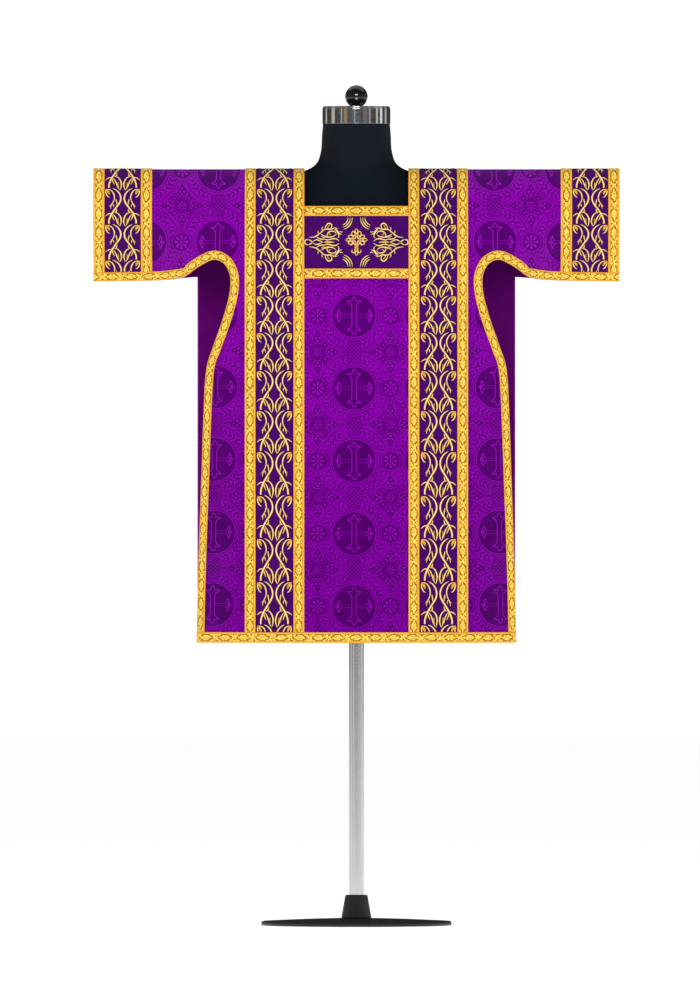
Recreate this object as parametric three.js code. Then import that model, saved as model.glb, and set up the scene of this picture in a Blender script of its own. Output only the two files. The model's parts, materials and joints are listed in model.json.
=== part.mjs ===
// A tunicle, the sleeved outer vestment of a subdeacon, standing on a limbless dress form.
// Millimetres, +Z up, the front faces -Y, and the origin is on the floor under the form's pole.
// The cloth is worked out from sections: at each distance from the centre line a section runs from
// the shoulder fold over a rounded shoulder and down. Everything sewn on a panel repeats the panel's
// own grid lines, moved out along the cloth's normals.
import * as THREE from "three";

// Driving dimensions of the garment
const SHOULDER_Z = 1511.5; // top of the shoulder fold
const HEM_Z = 565; // lower edge of the body
const HALF_SPAN = 526; // centre line to cuff end
const BODY_HALF = 318; // centre line to the side edge at the hem
const NECK_FRONT_Z = 1436; // top edge of the front neckline
const NECK_BACK_Z = 1470; // top edge of the back neckline
const YOKE_Z = 1372; // level where the sleeve's lower half begins

// Widths of the trimmings
const BRAID = 20; // gold braid above and below the chest panel and on the back neck
const ORPHREY_BRAID = 22; // gold braid beside an orphrey's band
const EDGE_BRAID = 18.5; // gold braid on the sleeve's lower edge, armhole and open side
const CUFF_BRAID = 23; // gold braid beside the cuff band
const HEM_BRAID = 21.5; // gold braid round the hem
const ORPHREY_CENTRE = 163.2; // centre line of the garment to that of an orphrey
const ORPHREY_BAND = 75.2; // embroidered band between its two braids
const CUFF_BAND = 72; // embroidered band round the sleeve
const CHEST_BAND = 104.5; // height of the embroidered panel on the chest

// Walls and gaps
const PANEL_WALL = 1.6; // brocade with its interlining
const LINING_WALL = 1.0;
const BAND_WALL = 1.2; // embroidered velvet band
const BRAID_WALL = 1.6; // woven metal braid
const GAP = 0.3; // between pieces that touch or are sewn together
const HALF_GAP = GAP / 2;

// Places across the garment, from the centre line outwards
const BAND_INNER = ORPHREY_CENTRE - ORPHREY_BAND / 2;
const BAND_OUTER = ORPHREY_CENTRE + ORPHREY_BAND / 2;
const ORPHREY_INNER = BAND_INNER - ORPHREY_BRAID;
const ORPHREY_OUTER = BAND_OUTER + ORPHREY_BRAID;
const PANEL_SEAM = ORPHREY_INNER + 2; // seam of centre and side panel, under the inner braid
const CUFF_BAND_OUTER = HALF_SPAN - CUFF_BRAID;
const CUFF_BAND_INNER = CUFF_BAND_OUTER - CUFF_BAND;
const CUFF_INNER = CUFF_BAND_INNER - CUFF_BRAID;

// Heights of the horizontal trimmings
const CHEST_BAND_TOP = NECK_FRONT_Z - BRAID;
const CHEST_BAND_FOOT = CHEST_BAND_TOP - CHEST_BAND;
const CHEST_FOOT = CHEST_BAND_FOOT - BRAID;
const NECK_BACK_FOOT = NECK_BACK_Z - BRAID;
const HEM_BRAID_TOP = HEM_Z + HEM_BRAID;

const FRONT = -1;
const BACK = 1;
const LEFT = -1;
const RIGHT = 1;

// Sections of the cloth. across: distance from the centre line. deep: how far the cloth stands from
// the shoulder fold's plane under the shoulder. under: the same at the level of the sleeve's lower
// edge. crown: height over which the shoulder rounds out to its depth.
const SECTIONS = [
  { across: 0, deep: 140, under: 140, crown: 190 },
  { across: 106, deep: 134, under: 134, crown: 188 },
  { across: 164, deep: 126, under: 126, crown: 184 },
  { across: 223, deep: 113, under: 111, crown: 172 },
  { across: 270, deep: 98, under: 93, crown: 150 },
  { across: 320, deep: 82, under: 64, crown: 122 },
  { across: 360, deep: 70, under: 32, crown: 104 },
  { across: 410, deep: 58, under: 0, crown: 90 },
  { across: 526, deep: 48, under: 0, crown: 80 },
];

// Lower edge of the sleeve, from the underarm to the cuff
const SLEEVE_EDGE = [
  { across: 318, z: 1296.5 },
  { across: 346, z: 1294.5 },
  { across: 380, z: 1290.2 },
  { across: 409, z: 1288.6 },
  { across: 467, z: 1287.7 },
  { across: 526, z: 1287 },
];
const SLEEVE_FOOT_Z = SLEEVE_EDGE.at(-1).z;

// Free edge of the front from the sleeve round the armhole and down the open side. Each row is a
// section line of the side panel: it starts at (inX, inZ) and ends on the edge at (x, z).
const ARMHOLE = [
  { inX: 318, inZ: YOKE_Z, x: 314, z: 1316 },
  { inX: 287, inZ: YOKE_Z, x: 284.5, z: 1329.5 },
  { inX: 255, inZ: YOKE_Z, x: 263.5, z: 1321 },
  { inX: ORPHREY_OUTER, inZ: YOKE_Z, x: 253, z: 1301.5 },
  { inX: ORPHREY_OUTER, inZ: 1346, x: 251, z: 1281 },
  { inX: ORPHREY_OUTER, inZ: CHEST_BAND_FOOT, x: 253.8, z: 1258 },
  { inX: ORPHREY_OUTER, inZ: CHEST_FOOT, x: 259.1, z: 1236 },
];
const OPEN_SIDE = [
  { inZ: 1248, x: 269.8, z: 1201 },
  { inZ: 1185, x: 285.7, z: 1156 },
  { inZ: 1108, x: 299.6, z: 1108 },
  { inZ: 1010, x: 305.1, z: 1010 },
  { inZ: 900, x: 308.8, z: 900 },
  { inZ: 790, x: 312.8, z: 790 },
  { inZ: 690, x: 315.8, z: 690 },
  { inZ: HEM_BRAID_TOP, x: BODY_HALF, z: HEM_BRAID_TOP },
  { inZ: HEM_Z, x: BODY_HALF, z: HEM_Z },
].map((row) => ({ inX: ORPHREY_OUTER, ...row }));

// Rows of the grid: drops below the shoulder fold, then heights
const CROWN_DROPS = [0, 0.7, 3, 8.5, 20, 41];
const CROWN_ROWS = CROWN_DROPS.map((drop) => SHOULDER_Z - drop);
const FRONT_UPPER_ROWS = [...CROWN_ROWS, NECK_FRONT_Z, CHEST_BAND_TOP, YOKE_Z];
const BACK_UPPER_ROWS = [
  ...CROWN_ROWS.slice(0, -1),
  NECK_BACK_Z,
  NECK_BACK_FOOT,
  1420,
  YOKE_Z,
];
const BACK_LOWER_ROWS = [1248, 1150, 1040, 930, 810, 695, HEM_BRAID_TOP, HEM_Z];

// Columns of the grid, from the centre line outwards
const CENTRE_COLUMNS = [-70, -35, 0, 35, 70];
const ORPHREY_COLUMNS = [
  PANEL_SEAM,
  BAND_INNER,
  ORPHREY_CENTRE,
  BAND_OUTER,
  ORPHREY_OUTER,
];
const SLEEVE_COLUMNS = [
  346,
  378,
  CUFF_INNER,
  CUFF_BAND_INNER,
  (CUFF_BAND_INNER + CUFF_BAND_OUTER) / 2,
  CUFF_BAND_OUTER,
  HALF_SPAN,
];
const BACK_SIDE_COLUMNS = [
  ...ORPHREY_COLUMNS,
  262,
  BODY_HALF - EDGE_BRAID,
  BODY_HALF,
];

// Soft folds of the hanging cloth: a ridge (rise above 0) or a trough that starts at startZ and
// grows to the hem. topX and hemX are its ends across, width its half width.
const FOLDS = [
  { side: FRONT, topX: -232, hemX: -252, width: 44, rise: 7, startZ: 1160 },
  { side: FRONT, topX: -52, hemX: -66, width: 58, rise: 4, startZ: 1060 },
  { side: FRONT, topX: 60, hemX: 84, width: 62, rise: -5, startZ: 1010 },
  { side: FRONT, topX: 226, hemX: 243, width: 46, rise: 6, startZ: 1120 },
  { side: BACK, topX: -190, hemX: -236, width: 50, rise: 9, startZ: 1200 },
  { side: BACK, topX: -60, hemX: -84, width: 56, rise: -6, startZ: 1080 },
  { side: BACK, topX: 30, hemX: 44, width: 52, rise: 8, startZ: 1150 },
  { side: BACK, topX: 176, hemX: 214, width: 58, rise: -5, startZ: 1000 },
  { side: BACK, topX: 268, hemX: 282, width: 36, rise: 6, startZ: 1180 },
];
const FLARE = 9; // how far the hem stands out beyond the underarm level

// Dress form
const FORM_TOP_Z = 1602;
const FORM_FOOT_Z = 822;
const FORM_SEGMENTS = 28;
const FORM_RINGS = [
  { wide: 67, deep: 67, sideZ: FORM_TOP_Z, frontZ: FORM_TOP_Z },
  { wide: 69, deep: 68, sideZ: 1577, frontZ: 1574 },
  { wide: 71, deep: 69, sideZ: 1548, frontZ: 1538 },
  { wide: 81, deep: 72, sideZ: 1521.8, frontZ: 1504.7 },
  { wide: 110, deep: 80, sideZ: 1506.6, frontZ: 1475.6 },
  { wide: 150, deep: 94, sideZ: 1503.8, frontZ: 1443.8 },
  { wide: 186, deep: 104, sideZ: 1496, frontZ: 1410 },
  { wide: 203, deep: 110, sideZ: 1474, frontZ: 1380 },
  { wide: 203, deep: 114, sideZ: 1430, frontZ: 1355 },
  { wide: 190, deep: 116, sideZ: 1345, frontZ: 1320 },
  { wide: 178, deep: 112, sideZ: 1250, frontZ: 1250 },
  { wide: 162, deep: 104, sideZ: 1130, frontZ: 1130 },
  { wide: 170, deep: 110, sideZ: 1030, frontZ: 1030 },
  { wide: 182, deep: 117, sideZ: 920, frontZ: 920 },
  { wide: 180, deep: 115, sideZ: 848, frontZ: 848 },
  { wide: 173, deep: 108, sideZ: 828, frontZ: 828 },
  { wide: 158, deep: 94, sideZ: FORM_FOOT_Z, frontZ: FORM_FOOT_Z },
];
const NECK_BAND_HEIGHT = 31;
const NECK_BAND_RADIUS = 68;
const NECK_CAP_HEIGHT = 3.5;
const KNOB_RADIUS = 22.5;
const KNOB_TOP_Z = 1679.5;
const POLE_RADIUS = 15;
const SOCKET_RADIUS = 27;
const SOCKET_HEIGHT = 34;
const HUB_RADIUS = 30;
const HUB_HEIGHT = 46;
const BASE_RADIUS = 190;
const BASE_RIM = 8;
const BASE_CROWN = 14;

// Colours and finishes
const finish = (color, roughness, metalness = 0) =>
  new THREE.MeshStandardMaterial({ color, roughness, metalness });
const DAMASK = finish(0x7d00a0, 0.55);
const LINING = finish(0x54045a, 0.6);
const VELVET = finish(0x460a78, 0.8);
const GOLD_BRAID = finish(0xe8b030, 0.45, 0.35);
const JERSEY = finish(0x14181c, 0.85);
const CHROME = finish(0xc8c8cc, 0.12, 1);
const GLOSS_BLACK = finish(0x08080a, 0.12);
const STEEL_BLACK = finish(0x101114, 0.45, 0.2);

const clamp01 = (t) => Math.min(1, Math.max(0, t));
const smooth = (t) => t * t * (3 - 2 * t);

// Value of a column at a place between the rows of a table, along a smooth curve that never
// overshoots a row.
function readTable(table, column, at) {
  const xs = table.map((row) => row.across);
  const ys = table.map((row) => row[column]);
  const last = xs.length - 1;
  const place = Math.min(xs[last], Math.max(xs[0], at));
  let i = 0;
  while (i < last - 1 && place > xs[i + 1]) i++;
  const step = (k) => (ys[k + 1] - ys[k]) / (xs[k + 1] - xs[k]);
  const slope = (k) => {
    if (k === 0 || k === last) return k === 0 ? 0 : step(last - 1);
    const [before, after] = [step(k - 1), step(k)];
    return before * after <= 0 ? 0 : (2 * before * after) / (before + after);
  };
  const width = xs[i + 1] - xs[i];
  const t = (place - xs[i]) / width;
  const [t2, t3] = [t * t, t * t * t];
  return (
    ys[i] * (2 * t3 - 3 * t2 + 1) +
    ys[i + 1] * (3 * t2 - 2 * t3) +
    width * (slope(i) * (t3 - 2 * t2 + t) + slope(i + 1) * (t3 - t2))
  );
}

// Depth that closes a sleeve's two walls on each other along its lower seam
const seamDepth = (side) =>
  PANEL_WALL + (side === BACK ? GAP + LINING_WALL : 0);

// How far the hanging cloth stands out by its flare and soft folds
function hang(side, x, z) {
  const down = clamp01((SLEEVE_FOOT_Z - z) / (SLEEVE_FOOT_Z - HEM_Z));
  let out = FLARE * down * down;
  for (const fold of FOLDS.filter((row) => row.side === side)) {
    const run = clamp01((fold.startZ - z) / (fold.startZ - HEM_Z));
    const offset = (x - fold.topX - (fold.hemX - fold.topX) * run) / fold.width;
    out += fold.rise * smooth(run) * Math.exp(-offset * offset);
  }
  return out;
}

// Outer face of a panel. turn is 0 on the shoulder fold, 1 at the foot of the rounded shoulder, and
// grows on down the cloth.
function clothPoint(side, x, turn) {
  const across = Math.abs(x);
  const [deep, crown] = ["deep", "crown"].map((c) => readTable(SECTIONS, c, across));
  const under = readTable(SECTIONS, "under", across) + seamDepth(side);
  const angle = (turn * Math.PI) / 2;
  const drop = turn < 1 ? crown * (1 - Math.cos(angle)) : crown * turn;
  const z = SHOULDER_Z - drop;
  const close = clamp01((drop - crown) / (SHOULDER_Z - SLEEVE_FOOT_Z - crown));
  const rounded = turn < 1 ? deep * Math.sin(angle) : deep;
  const depth = rounded + (under - deep) * smooth(close) + hang(side, x, z);
  return new THREE.Vector3(x, side * (depth + HALF_GAP), z);
}

function turnAt(x, z) {
  const crown = readTable(SECTIONS, "crown", Math.abs(x));
  const drop = SHOULDER_Z - z;
  return drop < crown ? Math.acos(1 - drop / crown) / (Math.PI / 2) : drop / crown;
}

// The outer face's point and outward normal at a place in the front view
function clothAt(side, x, z) {
  const turn = turnAt(x, z);
  const [stepX, stepTurn] = [0.5, 1e-3];
  const alongX = clothPoint(side, x + stepX, turn).sub(clothPoint(side, x - stepX, turn));
  const alongZ = clothPoint(side, x, turn + stepTurn).sub(clothPoint(side, x, turn - stepTurn));
  const normal = alongX.cross(alongZ).normalize().multiplyScalar(side);
  return { point: clothPoint(side, x, turn), normal };
}

// The quads between neighbouring lines of points in the front view
function quadsBetween(lines) {
  const quads = [];
  for (let i = 0; i + 1 < lines.length; i++)
    for (let j = 0; j + 1 < lines[i].length; j++)
      quads.push([lines[i][j], lines[i + 1][j], lines[i + 1][j + 1], lines[i][j + 1]]);
  return quads;
}

const mirrored = (quads) => quads.map((quad) => quad.map(({ x, z }) => ({ x: -x, z })));
const onSide = (hand, quads) => (hand === LEFT ? mirrored(quads) : quads);

// A rectangular block of quads from lists of heights and places across. shift lowers or raises a
// row where the sleeve's lower edge is not level.
const block = (rows, columns, shift = () => 0) =>
  quadsBetween(rows.map((z) => columns.map((x) => ({ x, z: z + shift(x, z) }))));

function turnsLeft(quad) {
  const area = quad.reduce((sum, p, k) => {
    const q = quad[(k + 1) % quad.length];
    return sum + p.x * q.z - q.x * p.z;
  }, 0);
  return area > 0;
}

// A quad is cut along the diagonal that falls away from the centre line, so a panel and what lies
// on it are always cut alike. The result starts at one end of that diagonal.
function cutFromFirst(quad) {
  const fall = (p, q) => {
    const [dx, dz] = [Math.abs(p.x) - Math.abs(q.x), p.z - q.z];
    return (dx * dz) / (dx * dx + dz * dz);
  };
  const [a, b, c, d] = quad;
  return fall(a, c) < fall(b, d) ? quad : [b, c, d, a];
}

// A closed wall of cloth over quads in the front view. lift is the distance from the panel's outer
// face to the wall's inner face.
function clothWall(name, material, side, quads, lift, thickness) {
  const index = new Map();
  const places = [];
  const indexOf = (p) => {
    const key = `${p.x.toFixed(3)} ${p.z.toFixed(3)}`;
    if (!index.has(key)) {
      index.set(key, places.length);
      places.push(p);
    }
    return index.get(key);
  };
  const faces = quads.flatMap((quad) => {
    const outward = turnsLeft(quad) === (side === FRONT);
    const corners = outward ? quad : [...quad].reverse();
    const [a, b, c, d] = cutFromFirst(corners).map(indexOf);
    return [
      [a, b, c],
      [a, c, d],
    ];
  });
  const count = places.length;
  const outer = [];
  const inner = [];
  for (const { x, z } of places) {
    const { point, normal } = clothAt(side, x, z);
    inner.push(...point.clone().addScaledVector(normal, lift));
    outer.push(...point.clone().addScaledVector(normal, lift + thickness));
  }
  const edges = new Map();
  for (const face of faces)
    face.forEach((a, k) => edges.set(`${a} ${face[(k + 1) % 3]}`, [a, face[(k + 1) % 3]]));
  const rim = [...edges.values()].filter(([a, b]) => !edges.has(`${b} ${a}`));
  const indices = [
    ...faces.flat(),
    ...faces.flatMap(([a, b, c]) => [a + count, c + count, b + count]),
    ...rim.flatMap(([a, b]) => [b, a, a + count, b, a + count, b + count]),
  ];
  const geometry = new THREE.BufferGeometry();
  geometry.setAttribute("position", new THREE.Float32BufferAttribute([...outer, ...inner], 3));
  geometry.setIndex(indices);
  return namedMesh(name, geometry, material);
}

function namedMesh(name, geometry, material) {
  geometry.computeVertexNormals();
  const mesh = new THREE.Mesh(geometry, material);
  mesh.name = name;
  return mesh;
}

const panel = (name, side, quads) =>
  clothWall(name, DAMASK, side, quads, -PANEL_WALL, PANEL_WALL);
const braid = (name, side, quads) =>
  clothWall(name, GOLD_BRAID, side, quads, GAP, BRAID_WALL);
const band = (name, side, quads) =>
  clothWall(name, VELVET, side, quads, GAP, BAND_WALL);

// A list of grid lines cut to a strip, drawn in by half a gap at each end that meets a neighbour
function strip(lines, from, to, insetFrom = HALF_GAP, insetTo = HALF_GAP) {
  const way = Math.sign(to - from);
  const inside = lines.filter((v) => (v - from) * way > GAP && (to - v) * way > GAP);
  return [from + way * insetFrom, ...inside, to - way * insetTo];
}

const sleeveEdgeZ = (x) => readTable(SLEEVE_EDGE, "z", Math.abs(x));

// Section lines of the front side panel below the yoke: from the yoke or the orphrey to the inner
// line of the edge braid and on to the free edge.
function frontEdgeLines() {
  const sleeve = [...SLEEVE_COLUMNS].reverse().map((x) => ({
    inX: x,
    inZ: YOKE_Z,
    x,
    z: sleeveEdgeZ(x),
  }));
  const rows = [...sleeve, ...ARMHOLE, ...OPEN_SIDE];
  const curve = new THREE.SplineCurve(rows.map(({ x, z }) => new THREE.Vector2(x, z)));
  const first = sleeve.length - 1;
  const lastArch = first + ARMHOLE.length;
  const lines = [];
  rows.forEach((row, i) => {
    lines.push(edgeLine(row, curve, i / (rows.length - 1)));
    if (i < first || i >= lastArch || row.inZ !== YOKE_Z || rows[i + 1].inZ !== YOKE_Z) return;
    const half = curve.getPoint((i + 0.5) / (rows.length - 1));
    const between = { inX: (row.inX + rows[i + 1].inX) / 2, inZ: YOKE_Z, x: half.x, z: half.y };
    lines.push(edgeLine(between, curve, (i + 0.5) / (rows.length - 1)));
  });
  return lines;
}

// The braid keeps its width on the cloth, so it is narrower in the front view where the cloth
// turns away. Under the sleeve it is level, as on the back.
function edgeLine(row, curve, at) {
  const along = curve.getTangent(clamp01(at));
  const inward = new THREE.Vector2(along.y, -along.x);
  if (row.inX === row.x) inward.set(0, 1);
  if (row.inZ === row.z) inward.set(-1, 0);
  const { normal } = clothAt(FRONT, row.x, row.z);
  const turned = row.inX === row.x ? 0 : normal.x * inward.x + normal.z * inward.y;
  const width = EDGE_BRAID * Math.sqrt(1 - turned ** 2);
  const braidLine = { x: row.x + inward.x * width, z: row.z + inward.y * width };
  const start = { x: row.inX, z: row.inZ };
  const middle = { x: (start.x + braidLine.x) / 2, z: (start.z + braidLine.z) / 2 };
  return { start, middle, braidLine, edge: { x: row.x, z: row.z } };
}

const EDGE_LINES = frontEdgeLines();
const YOKE_COLUMNS = EDGE_LINES.filter(({ start }) => start.z === YOKE_Z).map(({ start }) => start.x);
const FRONT_LOWER_ROWS = EDGE_LINES.filter(({ start }) => start.x === ORPHREY_OUTER).map(
  ({ start }) => start.z,
);
const FRONT_ROWS = [...FRONT_UPPER_ROWS, ...FRONT_LOWER_ROWS.slice(1)];
const BACK_SLEEVE_FOOT = sleeveEdgeZ(BODY_HALF);
const BACK_ROWS = [
  ...BACK_UPPER_ROWS,
  (YOKE_Z + BACK_SLEEVE_FOOT + EDGE_BRAID) / 2,
  BACK_SLEEVE_FOOT + EDGE_BRAID,
  BACK_SLEEVE_FOOT,
  ...BACK_LOWER_ROWS,
];

// Rows of the back's sleeve follow its lower edge, which falls a little towards the cuff
const sleeveShift = (x, z) =>
  (sleeveEdgeZ(x) - BACK_SLEEVE_FOOT) *
  clamp01((YOKE_Z - z) / (YOKE_Z - BACK_SLEEVE_FOOT - EDGE_BRAID));

const rowsFrom = (rows, top, foot) =>
  rows.filter((z) => z <= top && z >= foot);

function frontPanels() {
  const centreColumns = [-PANEL_SEAM + HALF_GAP, ...CENTRE_COLUMNS, PANEL_SEAM - HALF_GAP];
  const centre = block(rowsFrom(FRONT_ROWS, NECK_FRONT_Z, HEM_Z), centreColumns);
  const seamColumns = [PANEL_SEAM + HALF_GAP, ...ORPHREY_COLUMNS.slice(1)];
  const side = [
    ...block(FRONT_ROWS, seamColumns),
    ...block(FRONT_UPPER_ROWS, [...YOKE_COLUMNS].reverse()),
    ...quadsBetween(EDGE_LINES.map((l) => [l.start, l.middle, l.braidLine, l.edge])),
  ];
  return [
    panel("front_centre", FRONT, centre),
    panel("front_side_left", FRONT, onSide(LEFT, side)),
    panel("front_side_right", FRONT, onSide(RIGHT, side)),
  ];
}

function backSleeve(columns) {
  const rows = BACK_ROWS.filter((z) => z > BACK_SLEEVE_FOOT - GAP);
  return block(rows, columns, sleeveShift);
}

function backPanels() {
  const centreColumns = [-PANEL_SEAM + HALF_GAP, ...CENTRE_COLUMNS, PANEL_SEAM - HALF_GAP];
  const centre = block(rowsFrom(BACK_ROWS, NECK_BACK_Z, HEM_Z), centreColumns);
  const seamColumns = [PANEL_SEAM + HALF_GAP, ...BACK_SIDE_COLUMNS.slice(1)];
  const sleeve = backSleeve([BODY_HALF, ...SLEEVE_COLUMNS]);
  const side = [...block(BACK_ROWS, seamColumns), ...sleeve];
  const wholeSide = [...block(BACK_ROWS, BACK_SIDE_COLUMNS), ...sleeve];
  const wholeCentre = block(rowsFrom(BACK_ROWS, NECK_BACK_Z, HEM_Z), [
    -PANEL_SEAM,
    ...CENTRE_COLUMNS,
    PANEL_SEAM,
  ]);
  const lining = [...wholeCentre, ...wholeSide, ...mirrored(wholeSide)];
  return [
    panel("back_centre", BACK, centre),
    panel("back_side_left", BACK, onSide(LEFT, side)),
    panel("back_side_right", BACK, onSide(RIGHT, side)),
    clothWall("back_lining", LINING, BACK, lining, -PANEL_WALL - GAP - LINING_WALL, LINING_WALL),
  ];
}

// Each orphrey: an embroidered band between two braids, from the shoulder fold to the hem braid
function orphreys(word, side, hand, rows) {
  const heights = strip(rows, SHOULDER_Z, HEM_BRAID_TOP, 0);
  const hands = hand === LEFT ? "left" : "right";
  const piece = (from, to) => onSide(hand, block(heights, strip(ORPHREY_COLUMNS, from, to)));
  return [
    band(`orphrey_${word}_${hands}`, side, piece(BAND_INNER, BAND_OUTER)),
    braid(`orphrey_braid_${word}_${hands}_inner`, side, piece(ORPHREY_INNER, BAND_INNER)),
    braid(`orphrey_braid_${word}_${hands}_outer`, side, piece(BAND_OUTER, ORPHREY_OUTER)),
  ];
}

// Cuff band and its two braids, from the shoulder fold to the braid on the sleeve's lower edge
function cuffs(word, side, hand, upperRows) {
  const hands = hand === LEFT ? "left" : "right";
  const piece = (from, to, insetTo = HALF_GAP) => {
    const columns = strip(SLEEVE_COLUMNS, from, to, HALF_GAP, insetTo);
    const lines = columns.map((x) => {
      const foot = sleeveEdgeZ(x) + EDGE_BRAID;
      const heights = [...upperRows, (YOKE_Z + foot) / 2, foot + HALF_GAP];
      return heights.map((z) => ({ x, z }));
    });
    return onSide(hand, quadsBetween(lines));
  };
  return [
    band(`cuff_band_${word}_${hands}`, side, piece(CUFF_BAND_INNER, CUFF_BAND_OUTER)),
    braid(`cuff_braid_${word}_${hands}_inner`, side, piece(CUFF_INNER, CUFF_BAND_INNER)),
    braid(`cuff_braid_${word}_${hands}_outer`, side, piece(CUFF_BAND_OUTER, HALF_SPAN, 0)),
  ];
}

// Braid along the front's sleeve edge, armhole and open side, in one length
function frontEdgeBraid(hand) {
  const lines = EDGE_LINES.filter(({ edge }) => edge.z > HEM_Z).map(({ braidLine, edge }) => {
    const width = Math.hypot(edge.x - braidLine.x, edge.z - braidLine.z);
    const move = HALF_GAP / width;
    const inner = {
      x: braidLine.x + (edge.x - braidLine.x) * move,
      z: braidLine.z + (edge.z - braidLine.z) * move,
    };
    return [inner, edge];
  });
  const foot = lines.at(-1);
  lines[lines.length - 1] = foot.map(({ x }) => ({ x, z: HEM_BRAID_TOP + HALF_GAP }));
  const hands = hand === LEFT ? "left" : "right";
  return braid(`edge_braid_front_${hands}`, FRONT, onSide(hand, quadsBetween(lines)));
}

// The back's free edge is a plain right angle, so its braid is a leg under the sleeve and a leg
// down the side
function backEdgeBraid(hand) {
  const corner = BODY_HALF;
  const inner = BODY_HALF - EDGE_BRAID + HALF_GAP;
  const underRows = [BACK_SLEEVE_FOOT + EDGE_BRAID - HALF_GAP, BACK_SLEEVE_FOOT];
  const sideRows = BACK_ROWS.filter((z) => z < BACK_SLEEVE_FOOT && z > HEM_BRAID_TOP);
  const quads = [
    ...block(underRows, [inner, corner, ...SLEEVE_COLUMNS], sleeveShift),
    ...block([BACK_SLEEVE_FOOT, ...sideRows, HEM_BRAID_TOP + HALF_GAP], [inner, corner]),
  ];
  const hands = hand === LEFT ? "left" : "right";
  return braid(`edge_braid_back_${hands}`, BACK, onSide(hand, quads));
}

function hemBraid(word, side, halfColumns) {
  const columns = [
    ...halfColumns.map((x) => -x).reverse(),
    ...CENTRE_COLUMNS,
    ...halfColumns,
  ];
  return braid(`hem_braid_${word}`, side, block([HEM_BRAID_TOP - HALF_GAP, HEM_Z], columns));
}

// Trimmings between the orphreys: the chest panel with its braids, and the back neck's braid
function betweenOrphreys() {
  const columns = [-ORPHREY_INNER + HALF_GAP, ...CENTRE_COLUMNS, ORPHREY_INNER - HALF_GAP];
  const piece = (rows, top, foot, insetTop = HALF_GAP) =>
    block(strip(rows, top, foot, insetTop), columns);
  return [
    braid("chest_braid_upper", FRONT, piece(FRONT_ROWS, NECK_FRONT_Z, CHEST_BAND_TOP, 0)),
    band("chest_band", FRONT, piece(FRONT_ROWS, CHEST_BAND_TOP, CHEST_BAND_FOOT)),
    braid("chest_braid_lower", FRONT, piece(FRONT_ROWS, CHEST_BAND_FOOT, CHEST_FOOT)),
    braid("neck_braid_back", BACK, piece(BACK_ROWS, NECK_BACK_Z, NECK_BACK_FOOT, 0)),
  ];
}

// Smooth form: elliptical rings whose sides ride higher than their front over the shoulders
function dressForm() {
  const column = (name) => FORM_RINGS.map((ring, i) => new THREE.Vector2(i, ring[name]));
  const curves = ["wide", "deep", "sideZ", "frontZ"].map((n) => new THREE.SplineCurve(column(n)));
  const rings = [];
  const steps = (FORM_RINGS.length - 1) * 2;
  for (let k = 0; k <= steps; k++) {
    const [wide, deep, sideZ, frontZ] = curves.map((curve) => curve.getPoint(k / steps).y);
    for (let s = 0; s < FORM_SEGMENTS; s++) {
      const angle = (s / FORM_SEGMENTS) * 2 * Math.PI;
      const frontness = Math.sin(angle) ** 2;
      rings.push(
        wide * Math.cos(angle),
        deep * Math.sin(angle),
        sideZ + (frontZ - sideZ) * frontness,
      );
    }
  }
  const indices = [];
  const at = (k, s) => k * FORM_SEGMENTS + (s % FORM_SEGMENTS);
  for (let k = 0; k < steps; k++)
    for (let s = 0; s < FORM_SEGMENTS; s++) {
      indices.push(at(k, s), at(k + 1, s), at(k + 1, s + 1));
      indices.push(at(k, s), at(k + 1, s + 1), at(k, s + 1));
    }
  for (let s = 1; s + 1 < FORM_SEGMENTS; s++) {
    indices.push(at(0, 0), at(0, s), at(0, s + 1));
    indices.push(at(steps, 0), at(steps, s + 1), at(steps, s));
  }
  const geometry = new THREE.BufferGeometry();
  geometry.setAttribute("position", new THREE.Float32BufferAttribute(rings, 3));
  geometry.setIndex(indices);
  return namedMesh("form_torso", geometry, JERSEY);
}

// A solid turned about the pole's axis from a profile of [radius, height] pairs, foot first
function turned(name, material, profile, segments = 32) {
  const points = profile.map(([r, z]) => new THREE.Vector2(r, z));
  const geometry = new THREE.LatheGeometry(points, segments).rotateX(Math.PI / 2);
  return namedMesh(name, geometry, material);
}

function formHead() {
  const bandFoot = FORM_TOP_Z + GAP;
  const bandTop = bandFoot + NECK_BAND_HEIGHT;
  const capFoot = bandTop + GAP;
  const capTop = capFoot + NECK_CAP_HEIGHT;
  const knobSeat = capTop + GAP;
  const knobZ = KNOB_TOP_Z - KNOB_RADIUS;
  const knobArc = new THREE.Path();
  const startAngle = -Math.asin((knobZ - knobSeat) / KNOB_RADIUS); // where the seat cuts the ball
  knobArc.absarc(0, knobZ, KNOB_RADIUS, startAngle, Math.PI / 2, false);
  const arc = knobArc.getPoints(6).map((p) => [Math.max(0, p.x), p.y]);
  const lip = 1.5; // rounding of the cap's edge
  return [
    turned("neck_band", CHROME, [
      [0, bandFoot],
      [NECK_BAND_RADIUS, bandFoot],
      [NECK_BAND_RADIUS - 0.6, bandTop],
      [0, bandTop],
    ]),
    turned("neck_cap", GLOSS_BLACK, [
      [0, capFoot],
      [NECK_BAND_RADIUS - 1, capFoot],
      [NECK_BAND_RADIUS - 1, capTop - lip],
      [NECK_BAND_RADIUS - 1 - lip, capTop],
      [0, capTop],
    ]),
    turned("knob", GLOSS_BLACK, [[0, knobSeat], ...arc], 24),
  ];
}

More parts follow.
